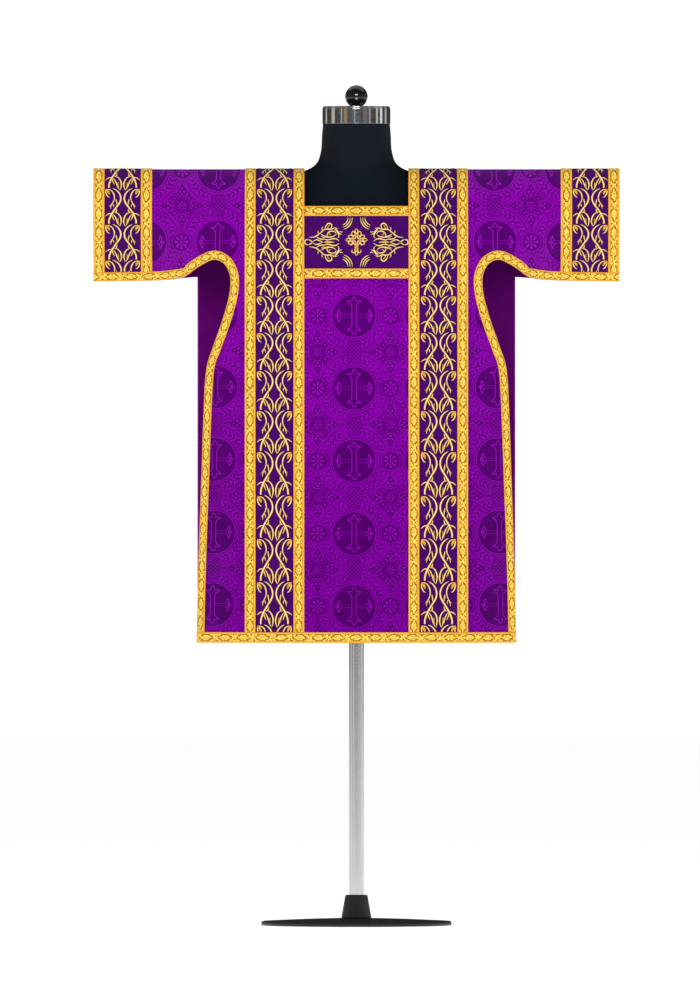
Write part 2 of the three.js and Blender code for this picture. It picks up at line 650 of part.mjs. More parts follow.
function stand() {
  const socketTop = FORM_FOOT_Z - GAP;
  const socketFoot = socketTop - SOCKET_HEIGHT;
  const hubFoot = BASE_CROWN + GAP;
  const hubTop = hubFoot + HUB_HEIGHT;
  return [
    turned("pole_socket", STEEL_BLACK, [
      [0, socketFoot],
      [SOCKET_RADIUS * 0.8, socketFoot],
      [SOCKET_RADIUS, socketTop],
      [0, socketTop],
    ]),
    turned(
      "pole",
      CHROME,
      [
        [0, hubTop + GAP],
        [POLE_RADIUS, hubTop + GAP],
        [POLE_RADIUS, socketFoot - GAP],
        [0, socketFoot - GAP],
      ],
      24,
    ),
    turned("base_hub", STEEL_BLACK, [
      [0, hubFoot],
      [HUB_RADIUS, hubFoot],
      [HUB_RADIUS * 0.75, hubTop],
      [0, hubTop],
    ]),
    turned(
      "base",
      STEEL_BLACK,
      [
        [0, 0],
        [BASE_RADIUS, 0],
        [BASE_RADIUS, BASE_RIM - 3],
        [BASE_RADIUS - 3, BASE_RIM],
        [HUB_RADIUS + 4, BASE_CROWN],
        [0, BASE_CROWN],
      ],
      48,
    ),
  ];
}

const frontHemColumns = [
  ...ORPHREY_COLUMNS,
  EDGE_LINES.at(-1).middle.x,
  EDGE_LINES.at(-1).braidLine.x,
  BODY_HALF,
];

const garment = new THREE.Group();
garment.add(
  ...frontPanels(),
  ...backPanels(),
  ...betweenOrphreys(),
  hemBraid("front", FRONT, frontHemColumns),
  hemBraid("back", BACK, BACK_SIDE_COLUMNS),
);
for (const hand of [LEFT, RIGHT])
  garment.add(
    ...orphreys("front", FRONT, hand, FRONT_ROWS),
    ...orphreys("back", BACK, hand, BACK_ROWS),
    ...cuffs("front", FRONT, hand, FRONT_UPPER_ROWS),
    ...cuffs("back", BACK, hand, BACK_UPPER_ROWS),
    frontEdgeBraid(hand),
    backEdgeBraid(hand),
  );

const form = new THREE.Group();
form.add(dressForm(), ...formHead(), ...stand());

const tunicle = new THREE.Group();
tunicle.add(garment, form);

export default tunicle;
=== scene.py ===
"""A tunicle on a limbless dress form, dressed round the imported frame.

The cloth is one worked-out surface for the front and one for the back. Every panel, band, braid and
stitch is a grid of places on that surface, moved out along its normals. Patterns are drawn in the
cloth's own measure, so they lie on it as woven or sewn.
"""
import json
import logging
import math
from dataclasses import dataclass
from enum import Enum
from typing import Callable, Sequence

import bpy
import numpy as np
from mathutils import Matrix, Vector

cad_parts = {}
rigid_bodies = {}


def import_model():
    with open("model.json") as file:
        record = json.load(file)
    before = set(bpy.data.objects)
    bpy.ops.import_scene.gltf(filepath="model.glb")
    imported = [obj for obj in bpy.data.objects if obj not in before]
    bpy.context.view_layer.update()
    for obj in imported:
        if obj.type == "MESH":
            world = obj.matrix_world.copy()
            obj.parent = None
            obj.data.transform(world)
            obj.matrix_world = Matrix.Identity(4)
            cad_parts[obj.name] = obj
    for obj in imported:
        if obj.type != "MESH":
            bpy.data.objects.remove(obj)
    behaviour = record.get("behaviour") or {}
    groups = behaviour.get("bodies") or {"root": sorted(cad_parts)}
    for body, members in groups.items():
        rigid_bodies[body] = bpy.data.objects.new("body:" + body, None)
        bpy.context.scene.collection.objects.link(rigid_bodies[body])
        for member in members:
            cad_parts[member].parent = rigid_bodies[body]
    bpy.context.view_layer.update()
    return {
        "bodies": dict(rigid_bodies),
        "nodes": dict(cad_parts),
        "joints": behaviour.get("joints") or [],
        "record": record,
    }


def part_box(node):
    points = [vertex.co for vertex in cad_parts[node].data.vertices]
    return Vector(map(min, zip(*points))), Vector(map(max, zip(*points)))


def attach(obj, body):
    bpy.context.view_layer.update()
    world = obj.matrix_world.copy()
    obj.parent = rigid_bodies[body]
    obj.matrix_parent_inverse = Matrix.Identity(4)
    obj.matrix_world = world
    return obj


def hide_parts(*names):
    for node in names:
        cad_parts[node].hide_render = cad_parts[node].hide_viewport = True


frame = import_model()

LOG = logging.getLogger("tunicle")
MM = 0.001
BODY = "root"

# Short names for the types that signatures repeat
Array = np.ndarray
Piece = bpy.types.Object
Material = bpy.types.Material
Tree = bpy.types.NodeTree
Socket = bpy.types.NodeSocket
Colour = tuple[float, float, float, float]
Point = tuple[float, float]


class Named(Enum):
    """An option whose name, in lower case, is its word in the names of pieces."""

    @property
    def word(self) -> str:
        """The option's word."""
        return self.name.lower()


class Side(Named):
    """Front or back of the garment. The value is the way its cloth faces along Y."""

    FRONT = -1
    BACK = 1


class Hand(Named):
    """Left or right as the photograph shows them. The value is the way along X."""

    LEFT = -1
    RIGHT = 1


@dataclass(frozen=True)
class Cut:
    """Driving sizes of the garment in millimetres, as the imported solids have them."""

    shoulder_z: float = 1511.5
    hem_z: float = 565.0
    half_span: float = 526.0
    body_half: float = 318.0
    neck_front_z: float = 1436.0
    neck_back_z: float = 1470.0
    yoke_z: float = 1372.0
    braid: float = 20.0
    orphrey_braid: float = 22.0
    edge_braid: float = 18.5
    cuff_braid: float = 23.0
    hem_braid: float = 21.5
    orphrey_centre: float = 163.2
    orphrey_band: float = 75.2
    cuff_band: float = 72.0
    chest_band: float = 104.5
    panel_wall: float = 1.6
    lining_wall: float = 1.0
    band_wall: float = 1.2
    braid_wall: float = 1.6
    gap: float = 0.3
    flare: float = 9.0

    @property
    def half_gap(self) -> float:
        """Half the gap between two pieces that meet."""
        return self.gap / 2

    @property
    def band_inner(self) -> float:
        """Inner edge of an orphrey's embroidered band."""
        return self.orphrey_centre - self.orphrey_band / 2

    @property
    def band_outer(self) -> float:
        """Outer edge of an orphrey's embroidered band."""
        return self.orphrey_centre + self.orphrey_band / 2

    @property
    def orphrey_inner(self) -> float:
        """Inner edge of an orphrey with its braid."""
        return self.band_inner - self.orphrey_braid

    @property
    def orphrey_outer(self) -> float:
        """Outer edge of an orphrey with its braid."""
        return self.band_outer + self.orphrey_braid

    @property
    def panel_seam(self) -> float:
        """Seam of centre and side panel, hidden under the inner braid."""
        return self.orphrey_inner + 2

    @property
    def cuff_band_outer(self) -> float:
        """Outer edge of the cuff's embroidered band."""
        return self.half_span - self.cuff_braid

    @property
    def cuff_band_inner(self) -> float:
        """Inner edge of the cuff's embroidered band."""
        return self.cuff_band_outer - self.cuff_band

    @property
    def cuff_inner(self) -> float:
        """Inner edge of the cuff with its braid."""
        return self.cuff_band_inner - self.cuff_braid

    @property
    def cuff_centre(self) -> float:
        """Centre line of the cuff's embroidered band."""
        return (self.cuff_band_inner + self.cuff_band_outer) / 2

    @property
    def chest_band_foot(self) -> float:
        """Lower edge of the chest's embroidered band."""
        return self.neck_front_z - self.braid - self.chest_band

    @property
    def hem_braid_top(self) -> float:
        """Upper edge of the hem braid."""
        return self.hem_z + self.hem_braid


CUT = Cut()


@dataclass(frozen=True)
class Section:
    """The cloth's cross-section at one distance from the centre line."""

    across: float
    deep: float
    under: float
    crown: float


SECTIONS = (
    Section(0, 140, 140, 190),
    Section(106, 134, 134, 188),
    Section(164, 126, 126, 184),
    Section(223, 113, 111, 172),
    Section(270, 98, 93, 150),
    Section(320, 82, 64, 122),
    Section(360, 70, 32, 104),
    Section(410, 58, 0, 90),
    Section(526, 48, 0, 80),
)


@dataclass(frozen=True)
class Fold:
    """A soft ridge, or a trough where rise is negative, that grows from start_z to the hem."""

    side: Side
    top_x: float
    hem_x: float
    width: float
    rise: float
    start_z: float


FOLDS = (
    Fold(Side.FRONT, -232, -252, 44, 7, 1160),
    Fold(Side.FRONT, -52, -66, 58, 4, 1060),
    Fold(Side.FRONT, 60, 84, 62, -5, 1010),
    Fold(Side.FRONT, 226, 243, 46, 6, 1120),
    Fold(Side.BACK, -190, -236, 50, 9, 1200),
    Fold(Side.BACK, -60, -84, 56, -6, 1080),
    Fold(Side.BACK, 30, 44, 52, 8, 1150),
    Fold(Side.BACK, 176, 214, 58, -5, 1000),
    Fold(Side.BACK, 268, 282, 36, 6, 1180),
)

# Lower edge of the sleeve: distance from the centre line, and height
SLEEVE_EDGE = np.array(
    [(318, 1296.5), (346, 1294.5), (380, 1290.2), (409, 1288.6), (467, 1287.7), (526, 1287)]
)


@dataclass(frozen=True)
class EdgeRow:
    """A section line of the front side panel, from the yoke or the orphrey to the free edge."""

    in_x: float
    in_z: float
    x: float
    z: float


def edge_rows() -> list[EdgeRow]:
    """Returns the section lines from the cuff, round the armhole and down to the hem."""
    yoke, outer = CUT.yoke_z, CUT.orphrey_outer
    cuff = (CUT.half_span, CUT.cuff_band_outer, CUT.cuff_centre, CUT.cuff_band_inner, CUT.cuff_inner)
    sleeve = [EdgeRow(x, yoke, x, float(sleeve_edge_z(x))) for x in (*cuff, 378, 346)]
    armhole = [
        EdgeRow(318, yoke, 314, 1316),
        EdgeRow(287, yoke, 284.5, 1329.5),
        EdgeRow(255, yoke, 263.5, 1321),
        EdgeRow(outer, yoke, 253, 1301.5),
        EdgeRow(outer, 1346, 251, 1281),
        EdgeRow(outer, CUT.chest_band_foot, 253.8, 1258),
        EdgeRow(outer, CUT.chest_band_foot - CUT.braid, 259.1, 1236),
    ]
    side = [
        EdgeRow(outer, 1248, 269.8, 1201),
        EdgeRow(outer, 1185, 285.7, 1156),
        EdgeRow(outer, 1108, 299.6, 1108),
        EdgeRow(outer, 1010, 305.1, 1010),
        EdgeRow(outer, 900, 308.8, 900),
        EdgeRow(outer, 790, 312.8, 790),
        EdgeRow(outer, 690, 315.8, 690),
        EdgeRow(outer, CUT.hem_braid_top, CUT.body_half, CUT.hem_braid_top),
        EdgeRow(outer, CUT.hem_z, CUT.body_half, CUT.hem_z),
    ]
    return [*sleeve, *armhole, *side]


def monotone_curve(xs: Array, ys: Array, at: Array) -> Array:
    """Reads a table along a smooth curve that never overshoots a row.

    Each row's slope is the harmonic mean of the steps beside it, or level where they disagree, and a
    cubic joins one row to the next.

    Args:
        xs: places of the rows, rising.
        ys: values of the rows.
        at: places to read.

    Returns:
        The values there.
    """
    steps = np.diff(ys) / np.diff(xs)
    product = steps[:-1] * steps[1:]
    total = np.where(steps[:-1] + steps[1:] == 0, 1, steps[:-1] + steps[1:])
    slopes = np.concatenate([[0], np.where(product > 0, 2 * product / total, 0), steps[-1:]])
    place = np.clip(at, xs[0], xs[-1])
    i = np.clip(np.searchsorted(xs, place, side="left") - 1, 0, len(xs) - 2)
    width = xs[i + 1] - xs[i]
    t = (place - xs[i]) / width
    start = ys[i] * (2 * t**3 - 3 * t**2 + 1) + ys[i + 1] * (3 * t**2 - 2 * t**3)
    return start + width * (slopes[i] * (t**3 - 2 * t**2 + t) + slopes[i + 1] * (t**3 - t**2))


def catmull_rom(points: Array, at: Array) -> Array:
    """Reads a curve through points: each stretch is a cubic whose end slopes are half the span of
    the neighbours, and the ends repeat their point.

    Args:
        points: rows of coordinates.
        at: places to read, in rows from 0 to the last.

    Returns:
        One row of coordinates for each place.
    """
    last = len(points) - 1
    i = np.clip(np.floor(at).astype(int), 0, last - 1)
    t = (at - i)[:, None]
    p0, p1, p2, p3 = (points[np.clip(i + k, 0, last)] for k in (-1, 0, 1, 2))
    v0, v1 = (p2 - p0) / 2, (p3 - p1) / 2
    cubic = (2 * p1 - 2 * p2 + v0 + v1) * t**3 + (3 * p2 - 3 * p1 - 2 * v0 - v1) * t**2
    return cubic + v0 * t + p1


def sleeve_edge_z(x: Array | float) -> Array:
    """Height of the sleeve's lower edge at a distance from the centre line."""
    return monotone_curve(SLEEVE_EDGE[:, 0], SLEEVE_EDGE[:, 1], np.abs(np.asarray(x, float)))


def smooth(t: Array) -> Array:
    """The step 3t² - 2t³ between 0 and 1."""
    t = np.clip(t, 0, 1)
    return t * t * (3 - 2 * t)


def unit(vectors: Array) -> Array:
    """Vectors scaled to a length of one."""
    return vectors / np.maximum(np.linalg.norm(vectors, axis=-1, keepdims=True), 1e-9)


def run_along(points: Array) -> Array:
    """Length of a line from its start to each of its points."""
    return np.concatenate([[0], np.cumsum(np.linalg.norm(np.diff(points, axis=0), axis=1))])


class Drape:
    """The outer face of the front or back panels as a surface.

    A section hangs from the shoulder fold at each distance across. Over the crown it is a quarter
    ellipse, below it the depth eases from deep to under by the level of the sleeve's foot, and the
    flare and the soft folds are added. turn is 0 on the fold, 1 at the ellipse's foot and 2 at the
    hem. Cut pieces are measured by their length along a section. Patterns are measured by height,
    but never stretched by more than STRETCH, which keeps them in shape over the shoulder. Both
    count from the yoke level.
    """

    STRETCH = 1.6
    COLUMNS = 211  # sections that are worked out
    CROWN_TURNS = 161  # places down each of them over the crown
    FALL_TURNS = 301  # places from there to the hem
    RUNGS = 1201  # pattern heights at which the turns are listed

    def __init__(self, side: Side) -> None:
        """Works out the tables between height, turn and length."""
        self.side = side
        self.columns = np.linspace(-CUT.half_span, CUT.half_span, self.COLUMNS)
        crown = np.linspace(0, 1, self.CROWN_TURNS)
        self.turns = np.concatenate([crown[:-1], np.linspace(1, 2, self.FALL_TURNS)])
        x, turn = np.meshgrid(self.columns, self.turns, indexing="ij")
        points = self.at_turn(x, turn)
        steps = np.linalg.norm(np.diff(points, axis=1), axis=2)
        self.lengths = self._heights(steps)
        self.patterns = self._heights(
            np.maximum(np.abs(np.diff(points[..., 2], axis=1)), steps / self.STRETCH)
        )
        self.ladder = np.linspace(self.patterns.min(), self.patterns.max(), self.RUNGS)
        self.ladder_turns = np.array(
            [np.interp(-self.ladder, -row, self.turns) for row in self.patterns]
        )

    def _heights(self, steps: Array) -> Array:
        """Heights down each section: the yoke level's, less the sum of the steps from there."""
        run = np.concatenate([np.zeros((len(self.columns), 1)), np.cumsum(steps, axis=1)], axis=1)
        yoke = self.turn_at_height(self.columns, np.full(len(self.columns), CUT.yoke_z))
        level = np.array([np.interp(t, self.turns, row) for t, row in zip(yoke, run)])
        return CUT.yoke_z + level[:, None] - run

    def section(self, column: str, x: Array) -> Array:
        """Reads one column of the section table at places across."""
        across = np.array([row.across for row in SECTIONS], float)
        values = np.array([getattr(row, column) for row in SECTIONS], float)
        return monotone_curve(across, values, np.abs(x))

    def hang(self, x: Array, z: Array) -> Array:
        """How far the cloth stands out by its flare, which grows with the square of the way down,
        and by its folds, each a bell curve across that grows towards the hem."""
        foot = SLEEVE_EDGE[-1, 1]
        out = CUT.flare * np.clip((foot - z) / (foot - CUT.hem_z), 0, 1) ** 2
        for fold in (f for f in FOLDS if f.side is self.side):
            run = np.clip((fold.start_z - z) / (fold.start_z - CUT.hem_z), 0, 1)
            offset = (x - fold.top_x - (fold.hem_x - fold.top_x) * run) / fold.width
            out = out + fold.rise * smooth(run) * np.exp(-(offset**2))
        return out

    def at_turn(self, x: Array, turn: Array) -> Array:
        """Points of the outer face, in millimetres, at places across and turns."""
        deep, crown = self.section("deep", x), self.section("crown", x)
        lined = CUT.gap + CUT.lining_wall if self.side is Side.BACK else 0
        under = self.section("under", x) + CUT.panel_wall + lined
        angle = np.minimum(turn, 1) * math.pi / 2
        rest = CUT.shoulder_z - CUT.hem_z - crown
        drop = crown * (1 - np.cos(angle)) + np.maximum(turn - 1, 0) * rest
        z = CUT.shoulder_z - drop
        foot = SLEEVE_EDGE[-1, 1]
        close = (drop - crown) / (CUT.shoulder_z - foot - crown)
        depth = deep * np.sin(angle) + (under - deep) * smooth(close) + self.hang(x, z)
        return np.stack([x, self.side.value * (depth + CUT.half_gap), z], axis=-1)

    def turn_at_height(self, x: Array, z: Array) -> Array:
        """Turns at places in the front view."""
        crown = self.section("crown", x)
        drop = CUT.shoulder_z - z
        rounded = np.arccos(np.clip(1 - drop / crown, 0, 1)) / (math.pi / 2)
        straight = 1 + (drop - crown) / (CUT.shoulder_z - CUT.hem_z - crown)
        return np.where(drop < crown, rounded, straight)

    def turn_at_pattern(self, x: Array, height: Array) -> Array:
        """Turns at places across and pattern heights, between the four nearest table entries."""
        return self._read(self.ladder_turns, self.ladder, x, height)

    def pattern_at(self, x: Array, z: Array) -> Array:
        """Pattern heights at places in the front view."""
        return self._read(self.patterns, self.turns, x, self.turn_at_height(x, z))

    def length_at(self, x: Array, z: Array) -> Array:
        """Cloth heights, by the length along a section, at places in the front view."""
        return self._read(self.lengths, self.turns, x, self.turn_at_height(x, z))

    def _read(self, table: Array, rungs: Array, x: Array, at: Array) -> Array:
        """Reads a table of the columns by its rungs, linear both ways."""
        column = np.interp(x, self.columns, np.arange(len(self.columns)))
        rung = np.interp(at, rungs, np.arange(len(rungs)))
        i = np.minimum(column.astype(int), len(self.columns) - 2)
        j = np.minimum(rung.astype(int), len(rungs) - 2)
        s, t = column - i, rung - j
        near = table[i, j] * (1 - t) + table[i, j + 1] * t
        far = table[i + 1, j] * (1 - t) + table[i + 1, j + 1] * t
        return near * (1 - s) + far * s

    def lifted(self, x: Array, turn: Array, lift: Array | float) -> Array:
        """Points at a distance from the outer face, along its normal, in metres.

        The normal is the cross product of the surface's steps across and down.

        Args:
            x: places across, in millimetres.
            turn: places down each section.
            lift: distance out from the face, in millimetres.

        Returns:
            Points with X, Y and Z last.
        """
        step, turned = 0.5, 1e-3
        across = self.at_turn(x + step, turn) - self.at_turn(x - step, turn)
        low = np.where(turn > 1, 0, 1) * np.minimum(turned, turn)
        back = np.where(turn > 1, turned, low)
        down = self.at_turn(x, turn + turned) - self.at_turn(x, turn - back)
        normal = unit(np.cross(across, down)) * self.side.value
        away = np.broadcast_to(np.asarray(lift, float), x.shape)[..., None]
        return (self.at_turn(x, turn) + normal * away) * MM

    def over(self, x: Array, z: Array, lift: Array | float = 0.0) -> Array:
        """Points over places in the front view, at a distance from the outer face, in metres."""
        return self.lifted(x, self.turn_at_height(x, z), lift)


@dataclass
class Patch:
    """A grid of places on the cloth. x and z are in the front view, rise is a share of the wall's
    thickness at each place, and uv is the pattern's measure there, in metres."""

    x: Array
    z: Array
    uv: Array
    rise: Array | None = None

    def on(self, hand: Hand) -> "Patch":
        """The patch, which is drawn for the right hand, on either hand."""
        return Patch(self.x * hand.value, self.z, self.uv, self.rise)


def stations(marks: Sequence[float], step: float) -> Array:
    """Even steps between marks, each stretch cut into whole steps of at most the given length."""
    runs = [
        np.linspace(a, b, max(1, math.ceil(abs(b - a) / step)) + 1)[:-1]
        for a, b in zip(marks[:-1], marks[1:])
    ]
    return np.concatenate([*runs, [marks[-1]]])


def crown_rows(top: float, foot: float, step: float = 6.0) -> Array:
    """Heights from top to foot, evenly spaced along the shoulder's quarter ellipse and then down.

    Args:
        top: first height.
        foot: last height.
        step: spacing along the cloth.

    Returns:
        Falling heights that include both ends.
    """
    crown = SECTIONS[0].crown
    turned = math.acos(max(-1.0, 1 - (CUT.shoulder_z - max(foot, CUT.yoke_z)) / crown))
    first = math.acos(1 - (CUT.shoulder_z - top) / crown) if top > CUT.yoke_z else turned
    rounded = CUT.shoulder_z - crown * (1 - np.cos(stations([first, turned], step / crown)))
    heights = rounded if top > CUT.yoke_z else np.array([top])
    if foot < CUT.yoke_z:
        heights = np.concatenate([heights[:-1], stations([heights[-1], foot], step)])
    heights[0], heights[-1] = top, foot
    return heights


class ClothMesh:
    """Closed walls of cloth, made from patches of one side's surface."""

    WELD = 1e-3  # places closer than this are one point

    def __init__(self, drape: Drape) -> None:
        """Keeps the surface that the patches lie on."""
        self.drape = drape

    def wall(self, name: str, patches: Sequence[Patch], lift: float, thickness: float) -> Piece:
        """Makes a wall: the patches' points moved out to an inner and an outer face, joined along
        every edge that only one face has.

        Args:
            name: name of the piece.
            patches: grids that share the points of their common edges.
            lift: distance from the panels' outer face to the wall's inner face, in millimetres.
            thickness: thickness of the wall, in millimetres.

        Returns:
            The object. Its outer faces come first, then the inner faces, then the rim.
        """
        flat = np.concatenate([np.stack([p.x, p.z], -1).reshape(-1, 2) for p in patches])
        rise = np.concatenate(
            [(np.ones(p.x.shape) if p.rise is None else p.rise).ravel() for p in patches]
        )
        uv = np.concatenate([p.uv.reshape(-1, 2) for p in patches])
        _, first, same = np.unique(
            np.round(flat / self.WELD).astype(np.int64), axis=0, return_index=True, return_inverse=True
        )
        same = same.ravel()
        quads = []
        start = 0
        for patch in patches:
            grid = start + np.arange(patch.x.size).reshape(patch.x.shape)
            corners = (grid[:-1, :-1], grid[1:, :-1], grid[1:, 1:], grid[:-1, 1:])
            quads.append(np.stack(corners, -1).reshape(-1, 4))
            start += patch.x.size
        corner = np.concatenate(quads)
        x, z = flat[corner, 0], flat[corner, 1]
        area = (x * np.roll(z, -1, 1) - np.roll(x, -1, 1) * z).sum(1)
        outward = (area > 0) == (self.drape.side is Side.FRONT)
        corner = np.where(outward[:, None], corner, corner[:, ::-1])
        faces = same[corner]
        place, height = flat[first], rise[first]
        outer = self.drape.over(*place.T, lift + thickness * height)
        inner = self.drape.over(*place.T, lift)
        count = len(place)
        rim, rim_corner = self._rim(faces, corner, count)
        points = np.concatenate([outer, inner])
        every = np.concatenate([faces, faces[:, ::-1] + count, rim])
        corner_uv = np.concatenate([uv[corner], uv[corner[:, ::-1]], uv[rim_corner]])
        piece = make_mesh(name, points, every.tolist(), corner_uv, sharp_degrees=50)
        piece["outer_faces"] = len(faces)
        return piece

    @staticmethod
    def _rim(faces: Array, corner: Array, count: int) -> tuple[Array, Array]:
        """Quads from the outer to the inner face along the open edges, with their pattern places."""
        start, end = faces.ravel(), np.roll(faces, -1, 1).ravel()
        start_uv, end_uv = corner.ravel(), np.roll(corner, -1, 1).ravel()
        alone = ~np.isin(start.astype(np.int64) * count + end, end.astype(np.int64) * count + start)
        a, b = start[alone], end[alone]
        rim = np.stack([b, a, a + count, b + count], -1)
        return rim, np.stack([end_uv, start_uv, start_uv, end_uv], -1)[alone]


def make_mesh(
    name: str, points: Array, faces: list, corner_uv: Array | None = None,
    sharp_degrees: float | None = None,
) -> Piece:
    """Puts points and faces into a new smooth-shaded object at the origin.

    Args:
        name: name of the piece.
        points: coordinates in metres.
        faces: corners of each face.
        corner_uv: pattern place of each face corner, in metres.
        sharp_degrees: edges that turn by more than this stay sharp.

    Returns:
        The object, linked to the scene and riding on the one body.
    """
    mesh = bpy.data.meshes.new(name)
    mesh.from_pydata(points.tolist(), [], faces)
    if corner_uv is not None:
        layer = mesh.uv_layers.new(name="cloth")
        layer.data.foreach_set("uv", corner_uv.astype(np.float32).ravel())
    mesh.polygons.foreach_set("use_smooth", np.ones(len(mesh.polygons), bool))
    if sharp_degrees is not None:
        mesh.set_sharp_from_angle(angle=math.radians(sharp_degrees))
    piece = bpy.data.objects.new(name, mesh)
    bpy.context.scene.collection.objects.link(piece)
    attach(piece, BODY)
    return piece


@dataclass(frozen=True)
class Look:
    """A finish, with the material slot that the record gives it."""

    slot: str
    material: Material


def dress(piece: Piece, look: Look, node: str | None = None) -> Piece:
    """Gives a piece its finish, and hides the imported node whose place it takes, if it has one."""
    piece.data.materials.append(look.material)
    if node is not None:
        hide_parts(node)
    LOG.info("%s: %d faces", piece.name, len(piece.data.polygons))
    return piece


def outer_area(piece: Piece) -> float:
    """Area of a wall's outer faces, in square metres."""
    areas = np.zeros(len(piece.data.polygons))
    piece.data.polygons.foreach_get("area", areas)
    return float(areas[: piece["outer_faces"]].sum())


# Shader fields


class Field:
    """A value that changes over a surface: one output of a shader node, with arithmetic on it."""

    def __init__(self, tree: Tree, socket: Socket) -> None:
        """Keeps the socket and the tree that it is in."""
        self.tree = tree
        self.socket = socket

    def _math(self, operation: str, *others: "Field | float", clamp: bool = False) -> "Field":
        """The result of a Math node on this value and up to two others."""
        node = self.tree.nodes.new("ShaderNodeMath")
        node.operation = operation
        node.use_clamp = clamp
        for socket, value in zip(node.inputs, (self, *others)):
            if isinstance(value, Field):
                self.tree.links.new(value.socket, socket)
            else:
                socket.default_value = value
        return Field(self.tree, node.outputs[0])

    def __add__(self, other: "Field | float") -> "Field":
        """Sum."""
        return self._math("ADD", other)

    def __sub__(self, other: "Field | float") -> "Field":
        """Difference."""
        return self._math("SUBTRACT", other)

    def __rsub__(self, other: float) -> "Field":
        """A number less this value."""
        return (self * -1.0) + other

    def __mul__(self, other: "Field | float") -> "Field":
        """Product."""
        return self._math("MULTIPLY", other)

    def __truediv__(self, other: "Field | float") -> "Field":
        """Quotient."""
        return self._math("DIVIDE", other)

    def size(self) -> "Field":
        """Distance from nought."""
        return self._math("ABSOLUTE")

    def part(self) -> "Field":
        """What is left over the whole number below."""
        return self._math("FRACT")

    def root(self) -> "Field":
        """Square root."""
        return self._math("SQRT")

    def wave(self, turns: float) -> "Field":
        """Sine of this value times a number of radians."""
        return (self * turns)._math("SINE")

    def cosine(self) -> "Field":
        """Cosine of this value in radians."""
        return self._math("COSINE")

    def bearing(self, across: "Field") -> "Field":
        """Angle of the place with this value up and the other across."""
        return self._math("ARCTAN2", across)

    def least(self, other: "Field | float") -> "Field":
        """The lower of two values."""
        return self._math("MINIMUM", other)

    def most(self, other: "Field | float") -> "Field":
        """The higher of two values."""
        return self._math("MAXIMUM", other)

    def ramp(self, low: float, high: float) -> "Field":
        """A smooth step from 0 at low to 1 at high, or the other way round where high is lower."""
        node = self.tree.nodes.new("ShaderNodeMapRange")
        node.interpolation_type = "SMOOTHSTEP"
        start, end, ends = (low, high, (0.0, 1.0)) if low < high else (high, low, (1.0, 0.0))
        values = (start, end, *ends)
        for name, value in zip(("From Min", "From Max", "To Min", "To Max"), values):
            node.inputs[name].default_value = value
        self.tree.links.new(self.socket, node.inputs["Value"])
        return Field(self.tree, node.outputs["Result"])

    def line(self, at: float, width: float, soft: float = 0.5) -> "Field":
        """1 on a line where this value is at the given one, 0 away from it."""
        return (self - at).size().ramp(width / 2 + soft, width / 2)

    def folded(self, repeat: float) -> "Field":
        """Distance from the nearest multiple of the repeat, with its sign."""
        return ((self / repeat + 0.5).part() - 0.5) * repeat


def length_of(a: Field, b: Field) -> Field:
    """Length of the vector with these two components."""
    return (a * a + b * b).root()


def along_path(a: Field, b: Field, path: Sequence[Point]) -> Field:
    """Distance from the place (a, b) to the nearest stretch of a path of straight lines.

    On each stretch the place is projected on to the line, held between its ends, and the distance
    to that foot is taken. The least of the distances is the answer.
    """
    nearest = None
    for (x0, y0), (x1, y1) in zip(path[:-1], path[1:]):
        dx, dy = x1 - x0, y1 - y0
        reach = dx * dx + dy * dy
        at = ((a - x0) * (dx / reach))._math("ADD", (b - y0) * (dy / reach), clamp=True)
        away = length_of(a - x0 - at * dx, b - y0 - at * dy)
        nearest = away if nearest is None else nearest.least(away)
    return nearest


def noise(tree: Tree, place: Socket, scale: float, detail: float = 2.0) -> Field:
    """Smooth noise over a place, at a scale per metre."""
    node = tree.nodes.new("ShaderNodeTexNoise")
    node.inputs["Scale"].default_value = scale
    node.inputs["Detail"].default_value = detail
    tree.links.new(place, node.inputs["Vector"])
    return Field(tree, node.outputs[0])


def components(tree: Tree, place: Socket) -> tuple[Field, ...]:
    """The three components of a place."""
    node = tree.nodes.new("ShaderNodeSeparateXYZ")
    tree.links.new(place, node.inputs[0])
    return tuple(Field(tree, socket) for socket in node.outputs)


class ShaderGroup:
    """A node group that reads a place in metres and gives plain values."""

    def __init__(self, name: str, *outputs: str) -> None:
        """Makes the group's sockets."""
        self.tree = bpy.data.node_groups.new(name, "ShaderNodeTree")
        self.tree.interface.new_socket("Place", in_out="INPUT", socket_type="NodeSocketVector")
        for label in outputs:
            self.tree.interface.new_socket(label, in_out="OUTPUT", socket_type="NodeSocketFloat")
        self.place = self.tree.nodes.new("NodeGroupInput").outputs["Place"]
        self.sink = self.tree.nodes.new("NodeGroupOutput")

    def split(self) -> tuple[Field, Field]:
        """The first two components of the place, in millimetres."""
        first, second, _ = components(self.tree, self.place)
        return first * 1000, second * 1000

    def noise(self, scale: float, detail: float = 2.0) -> Field:
        """Smooth noise over the place."""
        return noise(self.tree, self.place, scale, detail)

    def give(self, **values: Field) -> Tree:
        """Joins fields to the outputs of the same names, and returns the finished group."""
        for label, value in values.items():
            self.tree.links.new(value.socket, self.sink.inputs[label])
        return self.tree


